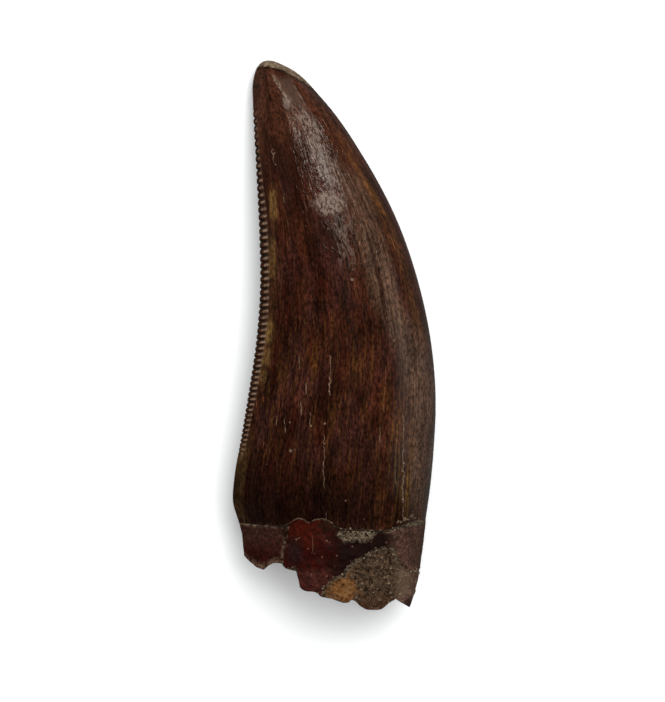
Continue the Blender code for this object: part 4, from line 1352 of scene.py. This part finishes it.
class FOSSIL_PG_colours(PropertyGroup):
    """Colours of the enamel, the stump and the rock."""

    enamel: colour_property("Enamel", "Main brown of the crown", rgb(88, 49, 34))
    enamel_dark: colour_property("Dark enamel", "Darker clouds in the crown", rgb(54, 25, 17))
    enamel_deep: colour_property("Deepest enamel", "Darkest streaks and the margin's band", rgb(18, 5, 3))
    enamel_red: colour_property("Red enamel", "Red streaks", rgb(78, 33, 21))
    plum: colour_property("Plum enamel", "Greyer patches in the crown", rgb(78, 46, 42))
    olive: colour_property("Olive streaks", "Olive streaks", rgb(98, 64, 32))
    streak_light: colour_property("Light streaks", "Finest light streaks", rgb(136, 88, 56))
    yellow_streak: colour_property("Yellow streaks", "Yellow-olive streaks by the base", rgb(132, 100, 38))
    tip: colour_property("Tip", "Brown of the tip", rgb(98, 62, 46))
    amber: colour_property("Amber", "Band inside the blunt edge", rgb(134, 90, 48))
    # Colours of the painted reflection beside and along the blunt edge
    painted_grey_reflection: colour_property("Edge grey", "Greyish brown beside the amber band", rgb(122, 98, 82))
    painted_brown_reflection: colour_property("Edge brown", "Pale brown by the blunt edge", rgb(120, 96, 84))
    ochre: colour_property("Ochre", "Patches inside the denticles", rgb(140, 110, 64))
    denticle: colour_property("Denticle", "Crests of the denticles", rgb(134, 94, 68))
    denticle_red: colour_property("Red denticle", "Redder crests", rgb(98, 56, 40))
    # Colour of the painted highlight on the denticles' crests
    denticle_highlight: colour_property("Light denticle", "Middles of the crests", rgb(236, 204, 178))
    denticle_edge: colour_property("Denticle edge", "The row's outer edge", rgb(62, 50, 44))
    # Colour of the painted shade in the gaps between the denticles
    slit_shade: colour_property("Slit", "Gaps between the denticles", rgb(24, 8, 3))
    # Colour of the painted highlight along the ridge
    painted_highlight: colour_property("Abraded enamel", "Rubbed enamel along the ridge", rgb(190, 170, 159))
    crack: colour_property("Crack", "Hairline cracks and chips", rgb(210, 182, 156))
    wear: colour_property("Wear", "Worn tip", rgb(198, 180, 154))
    wear_shade: colour_property("Wear shade", "Darker parts of the worn tip", rgb(134, 112, 92))
    # Colours of the painted sheen on the worn strip and of the painted highlights along its edges
    strip_painted_sheen: colour_property("Strip", "Worn strip on the tip", rgb(120, 98, 88))
    strip_edge_highlight: colour_property("Strip line", "Edges of the worn strip", rgb(206, 188, 170))
    tongue: colour_property("Tongue", "Red tongue of dentine", rgb(74, 15, 7))
    tongue_light: colour_property("Light tongue", "Orange-red part of the tongue", rgb(94, 28, 10))
    tongue_dark: colour_property("Dark dentine", "Dentine right of the tongue", rgb(34, 6, 3))
    bluish: colour_property("Bluish", "Dark patch at the tongue's side", rgb(50, 36, 38))
    block: colour_property("Lower block", "Block below the tongue", rgb(98, 50, 42))
    chunk: colour_property("Chunk", "Chunk below the cutting edge", rgb(90, 56, 48))
    chunk_red: colour_property("Red chunk", "Lower part of that chunk", rgb(72, 20, 13))
    chunk_lip: colour_property("Chunk lip", "Its pale broken lip", rgb(142, 116, 98))
    shade_olive: colour_property("Olive shade", "Stained dentine by the crust", rgb(56, 34, 16))
    right_strip: colour_property("Right strip", "Dentine below the blunt edge", rgb(122, 90, 78))
    point: colour_property("Point", "Pinkish grey point at the stump's lower corner", rgb(186, 146, 128))
    crumb_bed: colour_property("Crumb bed", "Stone under the crumbs", rgb(112, 98, 82))
    pore: colour_property("Pore", "Filled pores", rgb(164, 124, 104))
    # Also the colour of the painted highlight along the tongue's left edge
    rim: colour_property("Rim", "Pale mineral rims and grains", rgb(196, 180, 154))
    rock: colour_property("Rock", "Main colour of the crust", rgb(150, 122, 98))
    rock_brown: colour_property("Brown rock", "Lower part of the crust", rgb(118, 80, 56))
    rock_dark: colour_property("Dark rock", "Dark grains of the crust", rgb(62, 47, 36))
    rock_light: colour_property("Light rock", "Light grains of the crust", rgb(204, 180, 156))
    tan: colour_property("Tan", "Orange-tan spongy patch", rgb(196, 130, 72))
    tan_light: colour_property("Light tan", "Light parts of that patch", rgb(222, 172, 116))


class FOSSIL_PG_grains(PropertyGroup):
    """Rock grains on the stump."""

    density: FloatProperty(name="Density", description="Grains on each square millimetre where thickest",
                           default=60.0, min=0.0, max=200.0, subtype="UNSIGNED")
    smallest: FloatProperty(name="Smallest", description="Smallest radius, in mm", default=0.04, min=0.01,
                            max=0.3, subtype="DISTANCE")
    largest: FloatProperty(name="Largest", description="Largest radius, in mm", default=0.14, min=0.02,
                           max=0.5, subtype="DISTANCE")


class FOSSIL_PG_stage(PropertyGroup):
    """The camera's height and the strength of the lights."""

    view_height: FloatProperty(name="Camera height", description="Height above the surface", default=0.6,
                               min=0.1, unit="LENGTH")
    view_tall: FloatProperty(name="View", description="The height that the picture shows at the tooth",
                             default=0.06448, min=0.01, unit="LENGTH")
    ridge_light: FloatProperty(name="Ridge light", description="Small light beyond the tip", default=1.0,
                               min=0.0, unit="POWER")
    window_light: FloatProperty(name="Window light", description="Broad light beyond the blunt edge",
                                default=1.0, min=0.0, unit="POWER")
    floor_light: FloatProperty(name="Floor light", description="Large light for the surface below",
                               default=1.0, min=0.0, unit="POWER")


class FOSSIL_OT_build_tooth(Operator):
    """Builds the tooth over its CAD solid"""

    bl_idname = "fossil.build_tooth"
    bl_label = "Build the tooth"

    def execute(self, context):
        relief, colours = context.scene.fossil_relief, context.scene.fossil_colours
        tooth = bpy.data.objects.new("fossil_tooth", loft("fossil_tooth"))
        context.scene.collection.objects.link(tooth)
        groups = make_groups()
        made = [make(groups, colours) for make in (enamel_material, stump_material, break_material)]
        materials = dict(zip(TOOTH_MATERIALS, made))
        apply_tree(tooth, relief_tree(), {
            "Flutes": relief.flutes, "Swell": relief.swell, "Stump": relief.stump, "Crust": relief.crust,
            "Break lumps": relief.broken, **materials,
        })
        apply_tree(tooth, serration_tree(), {
            "Notch": relief.notch, "Reach": relief.reach, "Fluting": relief.fluting,
            "Roundness": relief.roundness, **materials,
        })
        keep_in_box(tooth.data)
        if len(tooth.data.materials) != len(TOOTH_MATERIALS) or not tooth.data.attributes.get("gap"):
            raise RuntimeError("the tooth's trees left no material or no gap field")
        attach(tooth, BODY)
        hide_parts(NODE)
        return {"FINISHED"}


class FOSSIL_OT_scatter_grains(Operator):
    """Scatters grains of rock over the stump"""

    bl_idname = "fossil.scatter_grains"
    bl_label = "Scatter the rock grains"

    def execute(self, context):
        tooth, choice = context.scene.objects["fossil_tooth"], context.scene.fossil_grains
        grains = bpy.data.objects.new("rock_grains", tooth.data.copy())
        context.scene.collection.objects.link(grains)
        apply_tree(grains, grain_tree(), {
            "Density": choice.density, "Smallest": choice.smallest, "Largest": choice.largest,
            "Material": grain_material(context.scene.fossil_colours),
        })
        if not len(grains.data.polygons):
            raise RuntimeError("no rock grains were made")
        keep_in_box(grains.data)
        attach(grains, BODY)
        return {"FINISHED"}


def area_light(name, place, size, power, colour):
    """A rectangular light that faces the tooth."""
    data = bpy.data.lights.new(name, "AREA")
    data.shape = "RECTANGLE"
    data.size, data.size_y = size
    data.energy = power
    data.color = colour
    light = bpy.data.objects.new(name, data)
    light.location = place
    light.rotation_euler = (Vector(AIM) - Vector(place)).to_track_quat("-Z", "Y").to_euler()
    bpy.context.scene.collection.objects.link(light)
    return light


class FOSSIL_OT_set_stage(Operator):
    """Sets the white surface, the studio lights and the camera"""

    bl_idname = "fossil.set_stage"
    bl_label = "Set the stage"

    def execute(self, context):
        scene, choice = context.scene, context.scene.fossil_stage
        mesh = bpy.data.meshes.new("white_surface")
        corners = [(x * SURFACE_REACH, y * SURFACE_REACH, 0.0)
                   for x, y in ((-1, -1), (1, -1), (1, 1), (-1, 1))]
        mesh.from_pydata(corners, [], [(0, 1, 2, 3)])
        surface = bpy.data.objects.new("white_surface", mesh)
        scene.collection.objects.link(surface)
        white = bpy.data.materials.new("white_paper")
        white.use_nodes = True
        shader = white.node_tree.nodes["Principled BSDF"]
        w = Wiring(white.node_tree)
        seen = w.add("ShaderNodeLightPath", output="Is Camera Ray")
        w.feed(shader.inputs["Base Color"], w.mix(seen, PAPER_IN_REFLECTIONS, PAPER_SEEN))
        shader.inputs["Roughness"].default_value = 0.9
        shader.inputs["Specular IOR Level"].default_value = 0.1
        mesh.materials.append(white)

        pieces = [scene.objects[name] for name in ("fossil_tooth", "rock_grains")]
        for collection, lit, lights in (
            ("lit_by_floor_light", [surface], FLOOR_LIGHTS), ("lit_by_warm_lights", pieces, TOOTH_LIGHTS),
        ):
            receivers = bpy.data.collections.new(collection)
            for piece in lit:
                receivers.objects.link(piece)
            for name, place, size, power, colour in lights:
                # Each light has a setting of its own name, but the fill follows the floor light's.
                strength = getattr(choice, name, choice.floor_light)
                light = area_light(name, place, size, power * strength, colour)
                light.light_linking.receiver_collection = receivers

        world = bpy.data.worlds.new("dim_room")
        world.use_nodes = True
        world.node_tree.nodes["Background"].inputs["Color"].default_value = (1.0, 1.0, 1.0, 1.0)
        world.node_tree.nodes["Background"].inputs["Strength"].default_value = ROOM_LIGHT
        scene.world = world
        scene.view_settings.view_transform = "Standard"

        camera_data = bpy.data.cameras.new("camera")
        distance = choice.view_height - TOOTH_MIDDLE_HEIGHT
        camera_data.lens = camera_data.sensor_width * distance / choice.view_tall
        camera_data.clip_start = 0.01
        camera_data.clip_end = 10.0
        camera = bpy.data.objects.new("camera", camera_data)
        camera.location = (CAMERA_X, CAMERA_Y, choice.view_height)
        scene.collection.objects.link(camera)
        scene.camera = camera
        return {"FINISHED"}


class FOSSIL_PT_panel(Panel):
    """Lists the tooth's sizes, colours and steps"""

    bl_idname = "FOSSIL_PT_panel"
    bl_label = "Fossil tooth"
    bl_space_type = "VIEW_3D"
    bl_region_type = "UI"
    bl_category = "Fossil"

    def draw(self, context):
        layout, scene = self.layout, context.scene
        steps = [
            ("Tooth", "fossil.build_tooth", scene.fossil_relief),
            ("Colours", None, scene.fossil_colours),
            ("Rock grains", "fossil.scatter_grains", scene.fossil_grains),
            ("Stage", "fossil.set_stage", scene.fossil_stage),
        ]
        for title, operator, group in steps:
            box = layout.box()
            box.label(text=title)
            for name in group.__annotations__:
                box.prop(group, name)
            if operator:
                box.operator(operator)


CLASSES = (
    FOSSIL_PG_relief, FOSSIL_PG_colours, FOSSIL_PG_grains, FOSSIL_PG_stage,
    FOSSIL_OT_build_tooth, FOSSIL_OT_scatter_grains, FOSSIL_OT_set_stage, FOSSIL_PT_panel,
)


def register():
    for cls in CLASSES:
        bpy.utils.register_class(cls)
    bpy.types.Scene.fossil_relief = PointerProperty(type=FOSSIL_PG_relief)
    bpy.types.Scene.fossil_colours = PointerProperty(type=FOSSIL_PG_colours)
    bpy.types.Scene.fossil_grains = PointerProperty(type=FOSSIL_PG_grains)
    bpy.types.Scene.fossil_stage = PointerProperty(type=FOSSIL_PG_stage)


def unregister():
    for name in ("fossil_relief", "fossil_colours", "fossil_grains", "fossil_stage"):
        delattr(bpy.types.Scene, name)
    for cls in reversed(CLASSES):
        bpy.utils.unregister_class(cls)


def main():
    register()
    bpy.ops.fossil.build_tooth()
    bpy.ops.fossil.scatter_grains()
    bpy.ops.fossil.set_stage()


if __name__ == "__main__":
    main()
